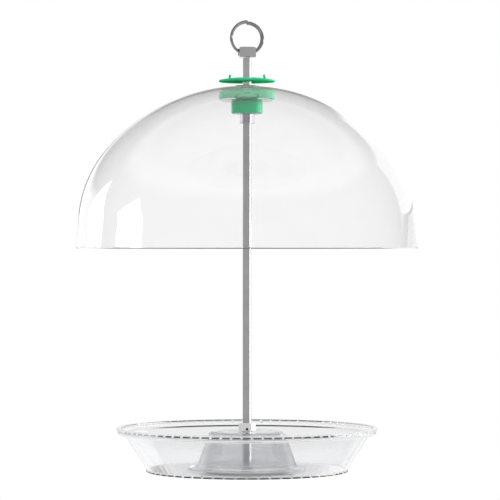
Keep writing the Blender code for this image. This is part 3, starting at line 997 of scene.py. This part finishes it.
@dataclass
class Dome(SubAssembly):
    """The clear dome with the bead round its rim."""

    wall: float = 0.0022
    crown_share: float = 1.093
    shoulder_share: float = 0.687
    wall_lean: float = math.radians(4.5)
    rim_height: float = 0.0076
    rim_step: float = 0.0007
    rim_chamfer: float = 0.0011
    hole_radius: float = 0.0105
    crown_steps: int = 48
    shoulder_steps: int = 40
    segments: int = 288

    def build(self) -> None:
        """Builds the shell."""
        radius = high("dome").x
        rim = low("dome").z
        outside = self.side(radius, rim, 0.0)
        inside = self.side(radius, rim, self.wall)
        foot = (radius - self.rim_step + self.rim_height * math.tan(self.wall_lean)
                - self.wall / math.cos(self.wall_lean))
        bead = [
            (radius, rim + self.rim_chamfer),
            (radius - self.rim_chamfer, rim),
            (foot + self.rim_chamfer, rim),
            (foot, rim + self.rim_chamfer),
        ]
        shell = turned("dome_shell", outside + bead + inside[::-1][1:], self.segments)
        self.take(shell, "dome", Body.DOME, DOME_PLASTIC)

    def side(self, radius: float, rim: float, inset: float) -> Outline:
        """One side of the dome's section, from its hole to its rim.

        Args:
            radius: Outer radius of the rim.
            rim: Height of the rim.
            inset: How far the side is set in from the outside.

        Returns:
            The points from the hole down.
        """
        crown_radius = self.crown_share * radius
        shoulder_radius = self.shoulder_share * radius
        apex = high("hub_collar").z - SEAT_GAP
        along = Vector((-math.sin(self.wall_lean), math.cos(self.wall_lean)))
        outward = Vector((math.cos(self.wall_lean), math.sin(self.wall_lean)))
        wall_foot = Vector((radius - self.rim_step, rim + self.rim_height))
        crown_centre = Vector((0.0, apex - crown_radius))
        reach = wall_foot.dot(outward) - shoulder_radius
        off_line = reach - crown_centre.dot(outward)
        climb = crown_centre.dot(along) + math.sqrt((crown_radius - shoulder_radius) ** 2 - off_line**2)
        shoulder_centre = reach * outward + climb * along
        spoke = shoulder_centre - crown_centre
        meet = math.atan2(spoke.y, spoke.x)
        hole_angle = math.acos(self.hole_radius / (crown_radius - inset))
        crown = arc(tuple(crown_centre), crown_radius - inset, hole_angle, meet, self.crown_steps)
        shoulder = arc(tuple(shoulder_centre), shoulder_radius - inset, meet, self.wall_lean,
                       self.shoulder_steps)
        return crown + shoulder[1:]


@dataclass
class Hub(SubAssembly):
    """The collar under the dome with its washer, its nut and the sleeve that grips the pole."""

    collar_radius: float = 0.0247
    collar_fillet: float = 0.0006
    edge_height: float = 0.007
    neck_radius: float = 0.0102
    stub_radius: float = 0.0102
    crown_radius: float = 0.16145
    crown_steps: int = 12
    sleeve_radius: float = 0.0065
    sleeve_shoulder_radius: float = 0.0084
    sleeve_shoulder_height: float = 0.0012
    sleeve_cone_height: float = 0.006
    sleeve_tip_radius: float = 0.0056
    slot_width: float = 0.001
    slot_turns: tuple[float, ...] = (math.radians(45), math.radians(135))
    nut_floor: float = 0.0026
    nut_fillet: float = 0.0016
    nut_steps: int = 8
    segments: int = 144

    def build(self) -> None:
        """Builds the collar, the washer, the nut and the sleeve."""
        self.take(self.collar(), "hub_collar", Body.HUB, GREEN_PLASTIC)
        plate = washer("hub_washer", "clamp_washer", self.stub_radius + SEAT_GAP, self.segments, FILLET_STEPS)
        self.take(plate, "clamp_washer", Body.COLLET, SMOKY_PLASTIC)
        self.take(self.nut(), "collet_nut", Body.COLLET_NUT, GREEN_PLASTIC)
        self.take(self.sleeve(), "collet_sleeve", Body.COLLET, SMOKY_PLASTIC)

    def collar(self) -> Thing:
        """The flange shaped to the dome's inside, its neck and its stub with the conical mouth.

        Returns:
            The object.
        """
        stub_bottom, neck_top = ends("hub_collar")
        bottom = high("clamp_washer").z + SEAT_GAP
        edge_top = bottom + self.edge_height
        centre = (0.0, edge_top - math.sqrt(self.crown_radius**2 - self.collar_radius**2))
        edge_angle = math.acos(self.collar_radius / self.crown_radius)
        neck_angle = math.acos(self.neck_radius / self.crown_radius)
        crown = arc(centre, self.crown_radius, edge_angle, neck_angle, self.crown_steps)
        shoulder_top = low("collet_nut").z + self.nut_floor + SEAT_GAP + self.sleeve_shoulder_height
        cone_top = shoulder_top + self.sleeve_cone_height
        slope = (self.sleeve_shoulder_radius - self.sleeve_tip_radius) / self.sleeve_cone_height
        cone_gap = SEAT_GAP * math.sqrt(1 + slope**2)
        mouth = self.sleeve_shoulder_radius - (stub_bottom - shoulder_top) * slope + cone_gap
        throat = self.sleeve_tip_radius + cone_gap
        bore_end = high("collet_sleeve").z + SEAT_GAP
        lower = rounded([
            crown[0],
            (self.neck_radius, neck_top, self.collar_fillet / 2),
            (guide_radius(), neck_top, self.collar_fillet / 2),
            (guide_radius(), bore_end),
            (throat, bore_end),
            (throat, cone_top),
            (mouth, stub_bottom),
            (self.stub_radius, stub_bottom),
            (self.stub_radius, bottom),
            (self.collar_radius, bottom, self.collar_fillet),
        ])
        return turned("hub_flange", lower[1:] + crown, self.segments)

    def nut(self) -> Thing:
        """The round hand nut.

        Returns:
            The object.
        """
        bottom, top = ends("collet_nut")
        radius = high("collet_nut").x
        floor_top = bottom + self.nut_floor
        bore = self.stub_radius + SEAT_GAP
        small_bore = self.sleeve_radius + SEAT_GAP
        outline = rounded([
            (bore, top),
            (bore, floor_top),
            (small_bore, floor_top),
            (small_bore, bottom, self.collar_fillet / 2),
            (radius, bottom, self.nut_fillet),
            (radius, top, self.collar_fillet),
        ], self.nut_steps)
        return turned("hand_nut", outline, self.segments)

    def sleeve(self) -> Thing:
        """The sleeve: a tail, a shoulder and four fingers behind a cone.

        Returns:
            The object.
        """
        bottom, top = ends("collet_sleeve")
        shoulder_bottom = low("collet_nut").z + self.nut_floor + SEAT_GAP
        shoulder_top = shoulder_bottom + self.sleeve_shoulder_height
        cone_top = shoulder_top + self.sleeve_cone_height
        outline = rounded([
            (guide_radius(), top),
            (guide_radius(), bottom, self.collar_fillet / 3),
            (self.sleeve_radius, bottom, self.collar_fillet / 2),
            (self.sleeve_radius, shoulder_bottom),
            (self.sleeve_shoulder_radius, shoulder_bottom),
            (self.sleeve_shoulder_radius, shoulder_top),
            (self.sleeve_tip_radius, cone_top),
            (self.sleeve_tip_radius, top),
        ])
        sleeve = turned("collet_body", outline, PART_SEGMENTS)
        half = self.sleeve_shoulder_radius + CUT_OVERRUN
        cut = [(-half, shoulder_top), (half, shoulder_top), (half, top + CUT_OVERRUN),
               (-half, top + CUT_OVERRUN)]
        cutters = [prism(f"collet_slot_{index}", cut, self.slot_width, spin(angle))
                   for index, angle in enumerate(self.slot_turns)]
        combine(sleeve, cutters, Operation.DIFFERENCE)
        return sleeve


@dataclass
class LockDisc(SubAssembly):
    """The green disc above the dome with its finger tabs and the rubber ring in its bore."""

    edge: float = 0.0016
    crown: float = 0.0022
    fillet: float = 0.0006
    grip_radius: float = 0.0008
    tab_reach: float = 0.0158
    tab_lean: float = 0.001
    tab_thickness: float = 0.0022
    tab_tip_thickness: float = 0.0016
    tab_width: float = 0.009
    tab_round: float = 0.00048
    tab_count: int = 2
    round_steps: int = 4
    crown_steps: int = 12
    grip_steps: int = 20
    segments: int = 144

    def build(self) -> None:
        """Builds the disc with its tabs, and the rubber ring."""
        self.take(self.disc(), "lock_disc", Body.LOCK_DISC, DISC_PLASTIC)
        centre = (guide_radius() + self.grip_radius, self.middle)
        hoop = arc(centre, self.grip_radius, 0.0, math.tau, self.grip_steps)[:-1]
        self.take(turned("lock_grip", hoop, PART_SEGMENTS), "disc_grip_ring", Body.GRIP_RING, GRIP_RUBBER)

    @property
    def middle(self) -> float:
        """Height of the middle of the disc's bore."""
        bottom = low("lock_disc").z
        return (bottom + bottom + self.edge + self.crown) / 2

    def disc(self) -> Thing:
        """The disc with its groove and its tabs, which mirrors don't show.

        Returns:
            The object.
        """
        bottom = low("lock_disc").z
        edge_top = bottom + self.edge
        top = edge_top + self.crown
        radius = high("lock_disc").x
        guide = guide_radius()
        middle = self.middle
        groove = guide + 2 * self.grip_radius + SEAT_GAP
        half_groove = self.grip_radius + SEAT_GAP
        crown = []
        for step in range(self.crown_steps + 1):
            part = 1 - step / self.crown_steps
            crown.append((guide + (radius - guide) * part, top - self.crown * part**2))
        outline = rounded([
            (guide, middle + half_groove),
            (groove, middle + half_groove),
            (groove, middle - half_groove),
            (guide, middle - half_groove),
            (guide, bottom),
            (radius, bottom, self.fillet),
            (radius, edge_top, self.fillet / 2),
        ] + crown[1:])
        disc = turned("lock_plate", outline, self.segments)
        tabs = [self.tab(f"lock_tab_{index}", turn) for index, turn in enumerate(even_turns(self.tab_count))]
        combine(disc, tabs, Operation.UNION)
        disc.visible_glossy = False
        return disc

    def tab(self, name: str, turn: float) -> Thing:
        """One finger tab with rounded edges.

        Args:
            name: Name of the object.
            turn: Turn about the pole.

        Returns:
            The object, to be joined to the disc.
        """
        bottom, tip = ends("lock_disc")
        root = bottom + self.edge / 2
        half = self.tab_thickness / 2
        tip_half = self.tab_tip_thickness / 2
        outline = [
            (self.tab_reach - half, root),
            (self.tab_reach + half, root),
            (self.tab_reach - self.tab_lean + tip_half, tip),
            (self.tab_reach - self.tab_lean - tip_half, tip),
        ]
        tab = prism(name, outline, self.tab_width, spin(turn))
        soften(tab, self.tab_round, self.round_steps)
        return tab


@dataclass
class Tray(SubAssembly):
    """The clear tray with its lip and its ribs, and the nut and washer that hold it on the pole."""

    foot_radius: float = 0.088
    floor: float = 0.0022
    wall: float = 0.0021
    wall_height: float = 0.0322
    wall_lean: float = math.radians(31.8)
    lip_wall: float = 0.0018
    lip_web: float = 0.0012
    lip_fillet: float = 0.0034
    lip_inner_fillet: float = 0.0014
    gusset_land: float = 0.0002
    bead_land: float = 0.0014
    bead_under: float = 0.0015
    bead_across: float = 0.0016
    brow_height: float = 0.0009
    brow_reach: float = 0.0012
    brow_land: float = 0.0003
    groove_height: float = 0.0016
    groove_half: float = 0.0017
    groove_inset: float = 0.0008
    kick_height: float = 0.0019
    rib_depth: float = 0.0007
    rib_width: float = 0.0018
    lip_ribs: int = 80
    foot_ribs: int = 56
    plateau_foot: float = 0.0407
    plateau_lean: float = math.radians(19.6)
    plateau_top: float = 0.0074
    bore: float = 0.0033
    drain_count: int = 8
    drain_circle: float = 0.0698
    drain_radius: float = 0.0016
    drain_segments: int = 24
    nut_flats: float = 0.010
    nut_round: float = 0.0001
    washer_steps: int = 3
    steps_per_rib: int = 5
    side_steps: int = 12
    edge_fillet: float = 0.0002
    ledge_fillet: float = 0.0004
    floor_fillet: float = 0.0015
    plateau_fillet: float = 0.0010
    hollow_fillet: float = 0.0008
    hollow_foot_fillet: float = 0.0006

    def build(self) -> None:
        """Builds the tray, its washer and its nut."""
        self.take(self.dish(), "tray", Body.POLE, TRAY_PLASTIC)
        plate = washer("tray_backing_washer", "tray_washer", self.bore, PART_SEGMENTS, self.washer_steps)
        self.take(plate, "tray_washer", Body.POLE, TURNED_STEEL)
        nut = hexagon("tray_thin_nut", self.nut_flats, ends("tray_nut"), self.bore, 0.0)
        soften(nut, self.nut_round)
        self.take(nut, "tray_nut", Body.POLE, TURNED_STEEL)

    @property
    def rib_reach(self) -> float:
        """Angle from the middle of a rib to its side."""
        return self.rib_width / 2 / high("tray").x

    def rib_share(self, angle: float, count: int, first: float) -> float:
        """Whether an angle lies on a rib, with sharp sides.

        Args:
            angle: The angle round the tray.
            count: Number of ribs round the tray.
            first: Angle of the first rib.

        Returns:
            One on a rib and zero between ribs.
        """
        pitch = math.tau / count
        off = abs((angle - first + pitch / 2) % pitch - pitch / 2)
        return 1.0 if off <= self.rib_reach + SEAM_DISTANCE else 0.0

    def angles(self) -> list[float]:
        """Angles of the tray's sections, close together at the sides of each rib.

        Returns:
            The angles in rising order over one turn.
        """
        reach = self.rib_reach
        side = reach / self.side_steps
        found = set()
        for middle in even_turns(self.lip_ribs, math.pi / self.lip_ribs) + even_turns(self.foot_ribs):
            for off in (-reach - side, -reach, reach, reach + side):
                found.add(round((middle + off) % math.tau, ANGLE_DIGITS))
        for angle in even_turns(self.lip_ribs * self.steps_per_rib):
            found.add(round(angle, ANGLE_DIGITS))
        kept: list[float] = []
        for angle in sorted(found):
            if not kept or angle - kept[-1] > side / 2:
                kept.append(angle)
        return kept

    def section(self, angle: float) -> Outline:
        """The tray's section at an angle.

        Args:
            angle: The angle round the tray.

        Returns:
            The closed outline.
        """
        on_lip = self.rib_share(angle, self.lip_ribs, math.pi / self.lip_ribs)
        on_foot = self.rib_share(angle, self.foot_ribs, 0.0)
        lean = math.tan(self.wall_lean)
        wall_across = self.wall / math.cos(self.wall_lean)
        wall_radius = self.foot_radius + (self.wall_height - self.kick_height) * lean
        lip_radius = high("tray").x - self.brow_reach
        lip_top = high("tray").z
        inner_lip = self.wall_height + self.lip_wall
        inner_wall_top = wall_radius + (inner_lip - self.wall_height) * lean - wall_across
        inner_wall_foot = self.foot_radius + (self.floor - self.kick_height) * lean - wall_across
        plateau_edge = self.plateau_foot - (self.plateau_top - self.floor) * math.tan(self.plateau_lean)
        side = self.floor / math.cos(self.plateau_lean)
        foot = self.foot_radius + self.rib_depth * on_foot
        land = lip_top - self.bead_land
        under = land - self.bead_under
        web = lip_radius - self.lip_web
        bead = web - self.bead_across
        gusset = web + (bead - web) * on_lip
        gusset_foot = under - self.gusset_land
        out = high("tray").x
        brow = lip_top - self.brow_land - self.brow_height
        groove_out = self.foot_radius - self.groove_inset
        groove_in = groove_out - 2 * self.groove_half
        groove = self.groove_height * (1 - on_foot)
        return rounded([
            (self.bore, self.plateau_top - self.floor),
            (plateau_edge - side, self.plateau_top - self.floor, self.hollow_fillet),
            (self.plateau_foot - side, 0.0, self.hollow_foot_fillet),
            (groove_in, 0.0),
            ((groove_in + groove_out) / 2, groove),
            (groove_out, 0.0),
            (foot, 0.0, self.edge_fillet),
            (foot, self.kick_height, self.edge_fillet),
            (self.foot_radius + self.rib_depth * lean, self.kick_height + self.rib_depth),
            (wall_radius, self.wall_height, self.ledge_fillet),
            (lip_radius, self.wall_height, self.lip_fillet),
            (lip_radius, under),
            (lip_radius + self.rib_depth * on_lip, under + self.rib_depth),
            (lip_radius + self.rib_depth * on_lip, brow + self.rib_depth * on_lip / 2),
            (out, brow + self.brow_height),
            (out, lip_top, self.edge_fillet),
            (bead, lip_top, self.edge_fillet),
            (bead, land),
            (gusset, under),
            (web, gusset_foot),
            (web, inner_lip, self.lip_inner_fillet),
            (inner_wall_top, inner_lip, self.ledge_fillet),
            (inner_wall_foot, self.floor, self.floor_fillet),
            (self.plateau_foot, self.floor, self.plateau_fillet),
            (plateau_edge, self.plateau_top, self.plateau_fillet),
            (self.bore, self.plateau_top),
        ])

    def dish(self) -> Thing:
        """The tray itself, with its drain holes.

        Returns:
            The object.
        """
        dish = lathe("tray_dish", self.section, self.angles())
        cutters = []
        for index, angle in enumerate(even_turns(self.drain_count, math.pi / self.drain_count)):
            placing = spin(angle) @ Matrix.Translation((self.drain_circle, 0, self.floor / 2))
            cutters.append(bar(f"drain_cutter_{index}", self.drain_radius, 3 * self.floor, placing,
                               self.drain_segments))
        combine(dish, cutters, Operation.DIFFERENCE)
        return dish


@dataclass
class SeedCone(SubAssembly):
    """The hollow cone in the middle of the tray, and the stop collar on top of it with its screw."""

    base_radius: float = 0.0447
    lean: float = math.radians(19.6)
    wall: float = 0.0023
    flange_width: float = 0.0069
    flange_thickness: float = 0.0017
    shoulder_fillet: float = 0.0045
    foot_fillet: float = 0.0016
    fillet_steps: int = 10
    segments: int = 192
    stop_flats: float = 0.013
    stop_turn: float = math.radians(30)
    stop_round: float = 0.00012
    hole_segments: int = 32
    screw_radius: float = 0.0009
    socket_radius: float = 0.0005
    socket_depth: float = 0.0008

    def build(self) -> None:
        """Builds the cone, the stop collar and its grub screw."""
        self.take(self.cone(), "seed_cone", Body.POLE, CONE_PLASTIC)
        # The stop collar's near-white tone is painted reflection on a satin finish.
        self.take(self.stop(), "stop_collar", Body.POLE, SATIN_STEEL_PAINTED_REFLECTION)
        self.take(self.screw(), "stop_screw", Body.POLE, BLACK_STEEL)

    def cone(self) -> Thing:
        """The cone with its rounded top and its foot flange.

        Returns:
            The object.
        """
        bottom, top = ends("seed_cone")
        guide = guide_radius()
        slope = math.tan(self.lean)
        across = self.wall / math.cos(self.lean)
        under = top - self.wall
        flange_top = bottom + self.flange_thickness
        flange = self.base_radius + self.flange_width
        outline = rounded([
            (guide, top),
            (guide, under),
            (self.base_radius - (under - bottom) * slope - across, under, self.shoulder_fillet - self.wall),
            (self.base_radius - across, bottom),
            (flange, bottom, self.flange_thickness / 4),
            (flange, flange_top, self.flange_thickness / 4),
            (self.base_radius - self.flange_thickness * slope, flange_top, self.foot_fillet),
            (self.base_radius - (top - bottom) * slope, top, self.shoulder_fillet),
        ], self.fillet_steps)
        return turned("seed_cone_shell", outline, self.segments)

    def stop(self) -> Thing:
        """The hexagon stop collar with its screw hole.

        Returns:
            The object.
        """
        collar = hexagon("stop_hexagon", self.stop_flats, ends("stop_collar"), guide_radius(), self.stop_turn)
        reach = self.stop_flats / 2 + CUT_OVERRUN
        placing = Matrix.Translation((0, -reach / 2, self.screw_height)) @ UPRIGHT_TO_FRONT
        hole = bar("stop_hole_cutter", self.screw_radius + SEAT_GAP, reach, placing, self.hole_segments)
        soften(collar, self.stop_round)
        combine(collar, [hole], Operation.DIFFERENCE)
        return collar

    @property
    def screw_height(self) -> float:
        """Height of the grub screw's middle."""
        return sum(ends("stop_screw")) / 2

    def screw(self) -> Thing:
        """The grub screw with its socket, seated in the collar's front flat.

        Returns:
            The object.
        """
        outer, inner = -low("stop_screw").y, -high("stop_screw").y
        outline = [
            (0.0, inner),
            (self.screw_radius, inner),
            (self.screw_radius, outer),
            (self.socket_radius, outer),
            (self.socket_radius, outer - self.socket_depth),
            (0.0, outer - self.socket_depth),
        ]
        screw = turned("stop_grub_screw", outline, HOLE_SEGMENTS)
        screw.data.transform(lift(self.screw_height) @ UPRIGHT_TO_FRONT)
        return screw


@dataclass(frozen=True)
class Lamp:
    """A soft lamp that stands off to one side and shows in no mirror.

    Its azimuths go from the camera's side towards the right and its elevations up from level, in degrees.
    A radiance of 1 is white.
    """

    name: str
    azimuths: Point
    elevations: Point
    radiance: float

    def build(self, distance: float, eye_height: float) -> None:
        """Hangs the lamp.

        Args:
            distance: Its distance from the pole.
            eye_height: The height that its elevations are measured from.
        """
        middle = math.radians(sum(self.azimuths) / 2)
        width = 2 * distance * math.tan(math.radians(self.azimuths[1] - self.azimuths[0]) / 2)
        bottom, top = (eye_height + distance * math.tan(math.radians(angle)) for angle in self.elevations)
        data = bpy.data.lights.new(self.name, "AREA")
        data.shape = "RECTANGLE"
        data.size = width
        data.size_y = top - bottom
        data.energy = self.radiance * math.pi * width * (top - bottom)
        lamp = bpy.data.objects.new(self.name, data)
        away = Vector((math.sin(middle), -math.cos(middle), 0))
        lamp.location = away * distance + Vector((0, 0, (bottom + top) / 2))
        lamp.rotation_euler = away.to_track_quat("Z", "Y").to_euler()
        lamp.visible_camera = False
        lamp.visible_glossy = False
        lamp.visible_transmission = False
        bpy.context.scene.collection.objects.link(lamp)


@dataclass
class Sight:
    """A ray that leaves for the surroundings: where it points and whether it met a clear wall."""

    sheet: NodeSheet
    aside: Socket
    away: Socket
    climb: Socket
    bearing: Socket
    in_front: Socket

    def edge(self, angle: Socket, limits: Point) -> Socket:
        """A soft step over an angle, between limits in degrees."""
        return self.sheet.step(angle, *(math.radians(limit) for limit in limits))

    def cone(self, limits: Point) -> Socket:
        """A soft step over the angle from straight ahead, between limits in degrees."""
        return self.sheet.step(self.away, *(math.cos(math.radians(limit)) for limit in limits))


@dataclass(frozen=True)
class Panel:
    """A bright leaning four-sided panel that mirrors see, all of it in degrees.

    Bearings go round the pole from the camera's side towards the right, and heights go up from level.
    """

    start: float
    end: float
    side_lean: float
    bottom: float
    bottom_lean: float
    bottom_at: float
    top: float
    inside: bool
    soft: float = 0.15

    def seen(self, sight: Sight, outside: Socket) -> Socket:
        """One where a direction meets the panel.

        Args:
            sight: The ray.
            outside: One for mirrors that stand in front of the clear walls or look up from level.

        Returns:
            The share of the panel that is seen.
        """
        sheet = sight.sheet
        fall = sheet.maths(Maths.SUBTRACT, sight.climb, math.radians(self.top))
        across = sheet.maths(Maths.ADD, sight.bearing, sheet.maths(Maths.MULTIPLY, fall, self.side_lean))
        rise = sheet.maths(Maths.SUBTRACT, sight.bearing, math.radians(self.bottom_at))
        height = sheet.maths(Maths.SUBTRACT, sight.climb, sheet.maths(Maths.MULTIPLY, rise, self.bottom_lean))
        return sheet.all_of(
            sight.edge(across, (self.start - self.soft, self.start + self.soft)),
            sight.edge(across, (self.end + self.soft, self.end - self.soft)),
            sight.edge(height, (self.bottom - self.soft, self.bottom + self.soft)),
            sight.edge(sight.climb, (self.top + self.soft, self.top - self.soft)),
            sheet.opposite(outside) if self.inside else outside,
        )


@dataclass
class Studio:
    """The floor, the lights, the white surroundings and the camera.

    Each pair from roof to edge_top bounds a part of the room that mirrors see. It says where a soft edge
    starts and where it is full, in degrees, or for right_wall and edge_left as a share of aside.
    """

    eye_height: float = 0.1941
    eye_distance: float = 2.368
    eye_aside: float = 0.0026
    lens_mm: float = 194.4
    floor_radius: float = 0.34
    floor_segments: int = 96
    floor_tones: tuple[Colour, Colour] = ((0.29, 0.29, 0.29), (0.31, 0.31, 0.31))
    floor_grain: float = 40.0
    floor_glow: float = 0.76
    fade_start: float = 0.17
    lamp_distance: float = 4.0
    lamps: tuple[Lamp, ...] = (
        Lamp("key_lamp", (72.0, 118.0), (-8.0, 22.0), 3.0),
        Lamp("rim_lamp", (120.0, 138.0), (-8.0, 22.0), 26.0),
    )
    white: float = 1.0
    mirror_grey: float = 0.5
    backdrop_level: float = 1.25
    strip_level: float = 0.5
    ahead_level: float = 0.9
    edge_level: float = 0.12
    roof_level: float = 0.03
    piped_bounces: int = 2
    fill_below: float = 0.4
    fill_above: float = 1.0
    roof: Point = (42.0, 50.0)
    slant: float = 1.05
    slant_edge: Point = (10.0, 5.0)
    wall_side: Point = (52.0, 49.0)
    wall_top: Point = (30.0, 27.0)
    wall_bottom: Point = (-1.0, 2.0)
    left_wall_top: Point = (15.0, 9.0)
    right_wall: Point = (0.0, 0.04)
    eye_line: Point = (0.0, 0.4)
    low_pole: Point = (0.5, 0.0)
    high_pole: Point = (3.5, 3.6)
    strip_start: Point = (123.0, 124.0)
    strip_end: Point = (165.0, 164.0)
    strip_top: Point = (4.4, 4.3)
    ahead: Point = (6.0, 5.2)
    steep_floor: Point = (-28.0, -36.0)
    front_floor: Point = (-6.0, -12.0)
    edge_outside: Point = (17.0, 14.0)
    edge_inside: Point = (5.5, 6.5)
    edge_left: Point = (0.0, -0.02)
    edge_bottom: Point = (0.8, 1.8)
    edge_top: Point = (12.0, 5.0)
    panel_level: float = 5.0
    panels: tuple[Panel, ...] = (
        Panel(76.0, 101.7, 0.56, -21.5, 0.75, 89.0, 1.0, True),
        Panel(121.5, 165.0, 0.45, -21.0, 0.96, 131.7, 1.0, True),
        Panel(82.0, 123.0, 0.0, -5.0, 0.0, 98.0, 4.07, False),
    )

    def build(self) -> None:
        """Sets up the whole studio."""
        self.set_camera()
        self.set_world()
        self.set_floor()
        for lamp in self.lamps:
            lamp.build(self.lamp_distance, self.eye_height)
        bpy.context.scene.view_settings.view_transform = "Standard"

    def set_camera(self) -> None:
        """Sets the camera level, as far off as the photograph's flat view shows."""
        data = bpy.data.cameras.new("product_camera")
        data.lens = self.lens_mm
        camera = bpy.data.objects.new("product_camera", data)
        camera.location = (self.eye_aside, -self.eye_distance, self.eye_height)
        camera.rotation_euler = (math.pi / 2, 0, 0)
        bpy.context.scene.collection.objects.link(camera)
        bpy.context.scene.camera = camera

    def set_world(self) -> None:
        """Sets the white surroundings, and what mirrors and the inside of clear walls see of them."""
        world = bpy.data.worlds.new("white_studio")
        bpy.context.scene.world = world
        world.use_nodes = True
        sheet = NodeSheet(world.node_tree)
        path = sheet.add("LightPath").outputs
        parts = sheet.add("SeparateXYZ")
        sheet.join(sheet.add("TexCoord").outputs["Generated"], parts.inputs[0])
        aside, away, up = parts.outputs
        climb = sheet.maths(Maths.ARCSINE, up)
        bearing = sheet.maths(Maths.ARCTAN2, aside, sheet.maths(Maths.MULTIPLY, away, -1.0))
        in_front = sheet.maths(Maths.LESS_THAN, path["Transmission Depth"], 1.0)
        sight = Sight(sheet, aside, away, climb, bearing, in_front)
        mirror = self.mirror_levels(sight)
        bounced = sheet.maths(Maths.GREATER_THAN, path["Glossy Depth"])
        through = sheet.choose(bounced, self.white, mirror)
        level = sheet.choose(path["Is Reflection Ray"], through, mirror)
        piped = sheet.maths(Maths.GREATER_THAN, path["Glossy Depth"], self.piped_bounces - 1)
        level = sheet.choose(piped, level, self.white)
        inside = sheet.opposite(path["Is Reflection Ray"])
        roof = sheet.all_of(sight.edge(climb, self.roof), sheet.any_of(inside, piped))
        level = sheet.choose(roof, level, self.roof_level)
        lighting = sheet.maths(Maths.GREATER_THAN, path["Diffuse Depth"])
        fill = sheet.choose(sheet.step(up, -1.0, 1.0), self.fill_below, self.fill_above)
        level = sheet.choose(lighting, level, fill)
        level = sheet.choose(path["Is Camera Ray"], level, self.white)
        sheet.join(level, world.node_tree.nodes["Background"].inputs["Color"])

    def mirror_levels(self, sight: Sight) -> Socket:
        """What mirrors see: a grey room, the white backdrop's two halves and the bright panels.

        Args:
            sight: The ray.

        Returns:
            The level.
        """
        sheet, climb, in_front = sight.sheet, sight.climb, sight.in_front
        swing = sheet.maths(Maths.SUBTRACT, math.pi, sheet.maths(Maths.ABSOLUTE, sight.bearing))
        wedge = sheet.maths(Maths.SUBTRACT, climb, sheet.maths(Maths.MULTIPLY, swing, self.slant))
        above = sight.edge(climb, self.eye_line)
        outside = sheet.any_of(in_front, above)
        on_pole = sheet.any_of(sight.edge(climb, self.low_pole), sight.edge(climb, self.high_pole))
        walls = sheet.all_of(
            sight.edge(swing, self.wall_side),
            sight.edge(climb, self.wall_top),
            sight.edge(climb, self.wall_bottom),
            sheet.any_of(sheet.step(sight.aside, *self.right_wall), sight.edge(climb, self.left_wall_top)),
            sight.edge(wedge, self.slant_edge),
        )
        strip = sheet.all_of(
            sight.edge(sight.bearing, self.strip_start),
            sight.edge(sight.bearing, self.strip_end),
            sight.edge(climb, self.strip_top),
            sheet.choose(in_front, above, on_pole),
        )
        edge = sheet.all_of(
            sight.cone(self.edge_outside),
            sight.cone(self.edge_inside),
            sheet.step(sight.aside, *self.edge_left),
            sight.edge(climb, self.edge_bottom),
            sight.edge(climb, self.edge_top),
        )
        floor = sheet.any_of(sight.edge(climb, self.steep_floor),
                             sheet.all_of(in_front, sight.edge(climb, self.front_floor)))
        level: Any = self.mirror_grey
        for zone, its_level in ((walls, self.backdrop_level), (strip, self.strip_level),
                                (edge, self.edge_level), (sight.cone(self.ahead), self.ahead_level),
                                (floor, self.white),
                                *((panel.seen(sight, outside), self.panel_level) for panel in self.panels)):
            level = sheet.choose(zone, level, its_level)
        return level

    def set_floor(self) -> None:
        """Sets a pale floor that keeps the object's shadow and fades into the white around it."""
        bm = bmesh.new()
        bmesh.ops.create_circle(bm, cap_ends=True, segments=self.floor_segments, radius=self.floor_radius,
                                matrix=lift(-SEAT_GAP))
        floor = finished(bm, "studio_floor")
        material = bpy.data.materials.new("studio_floor")
        material.use_nodes = True
        sheet = NodeSheet(material.node_tree)
        shader = sheet.shader
        sheet.assign(shader, Roughness=1.0, Specular_IOR_Level=0.0, Emission_Color=(1, 1, 1, 1))
        grain = sheet.noise((self.floor_grain,) * 3, FINE_DETAIL)
        sheet.join(sheet.blend(grain, *self.floor_tones), shader.inputs["Base Color"])
        path = sheet.add("LightPath").outputs
        seen = sheet.any_of(path["Is Camera Ray"], path["Is Transmission Ray"])
        sheet.join(sheet.maths(Maths.MULTIPLY, seen, self.floor_glow), shader.inputs["Emission Strength"])
        length = sheet.add("VectorMath", operation="LENGTH")
        sheet.join(sheet.add("TexCoord").outputs["Object"], length.inputs[0])
        fade = sheet.step(length.outputs["Value"], self.fade_start, self.floor_radius)
        sheet.let_pass(sheet.any_of(fade, path["Is Reflection Ray"]), (1.0, 1.0, 1.0))
        floor.data.materials.append(material)


def main() -> None:
    """Builds the studio and every sub-assembly."""
    logging.basicConfig(level=logging.INFO, format="%(name)s: %(message)s", stream=sys.stdout)
    Studio().build()
    for group in (Hanger(), LockDisc(), Dome(), Hub(), SeedCone(), Tray()):
        group.build()
        group.dress()


if __name__ == "__main__":
    main()
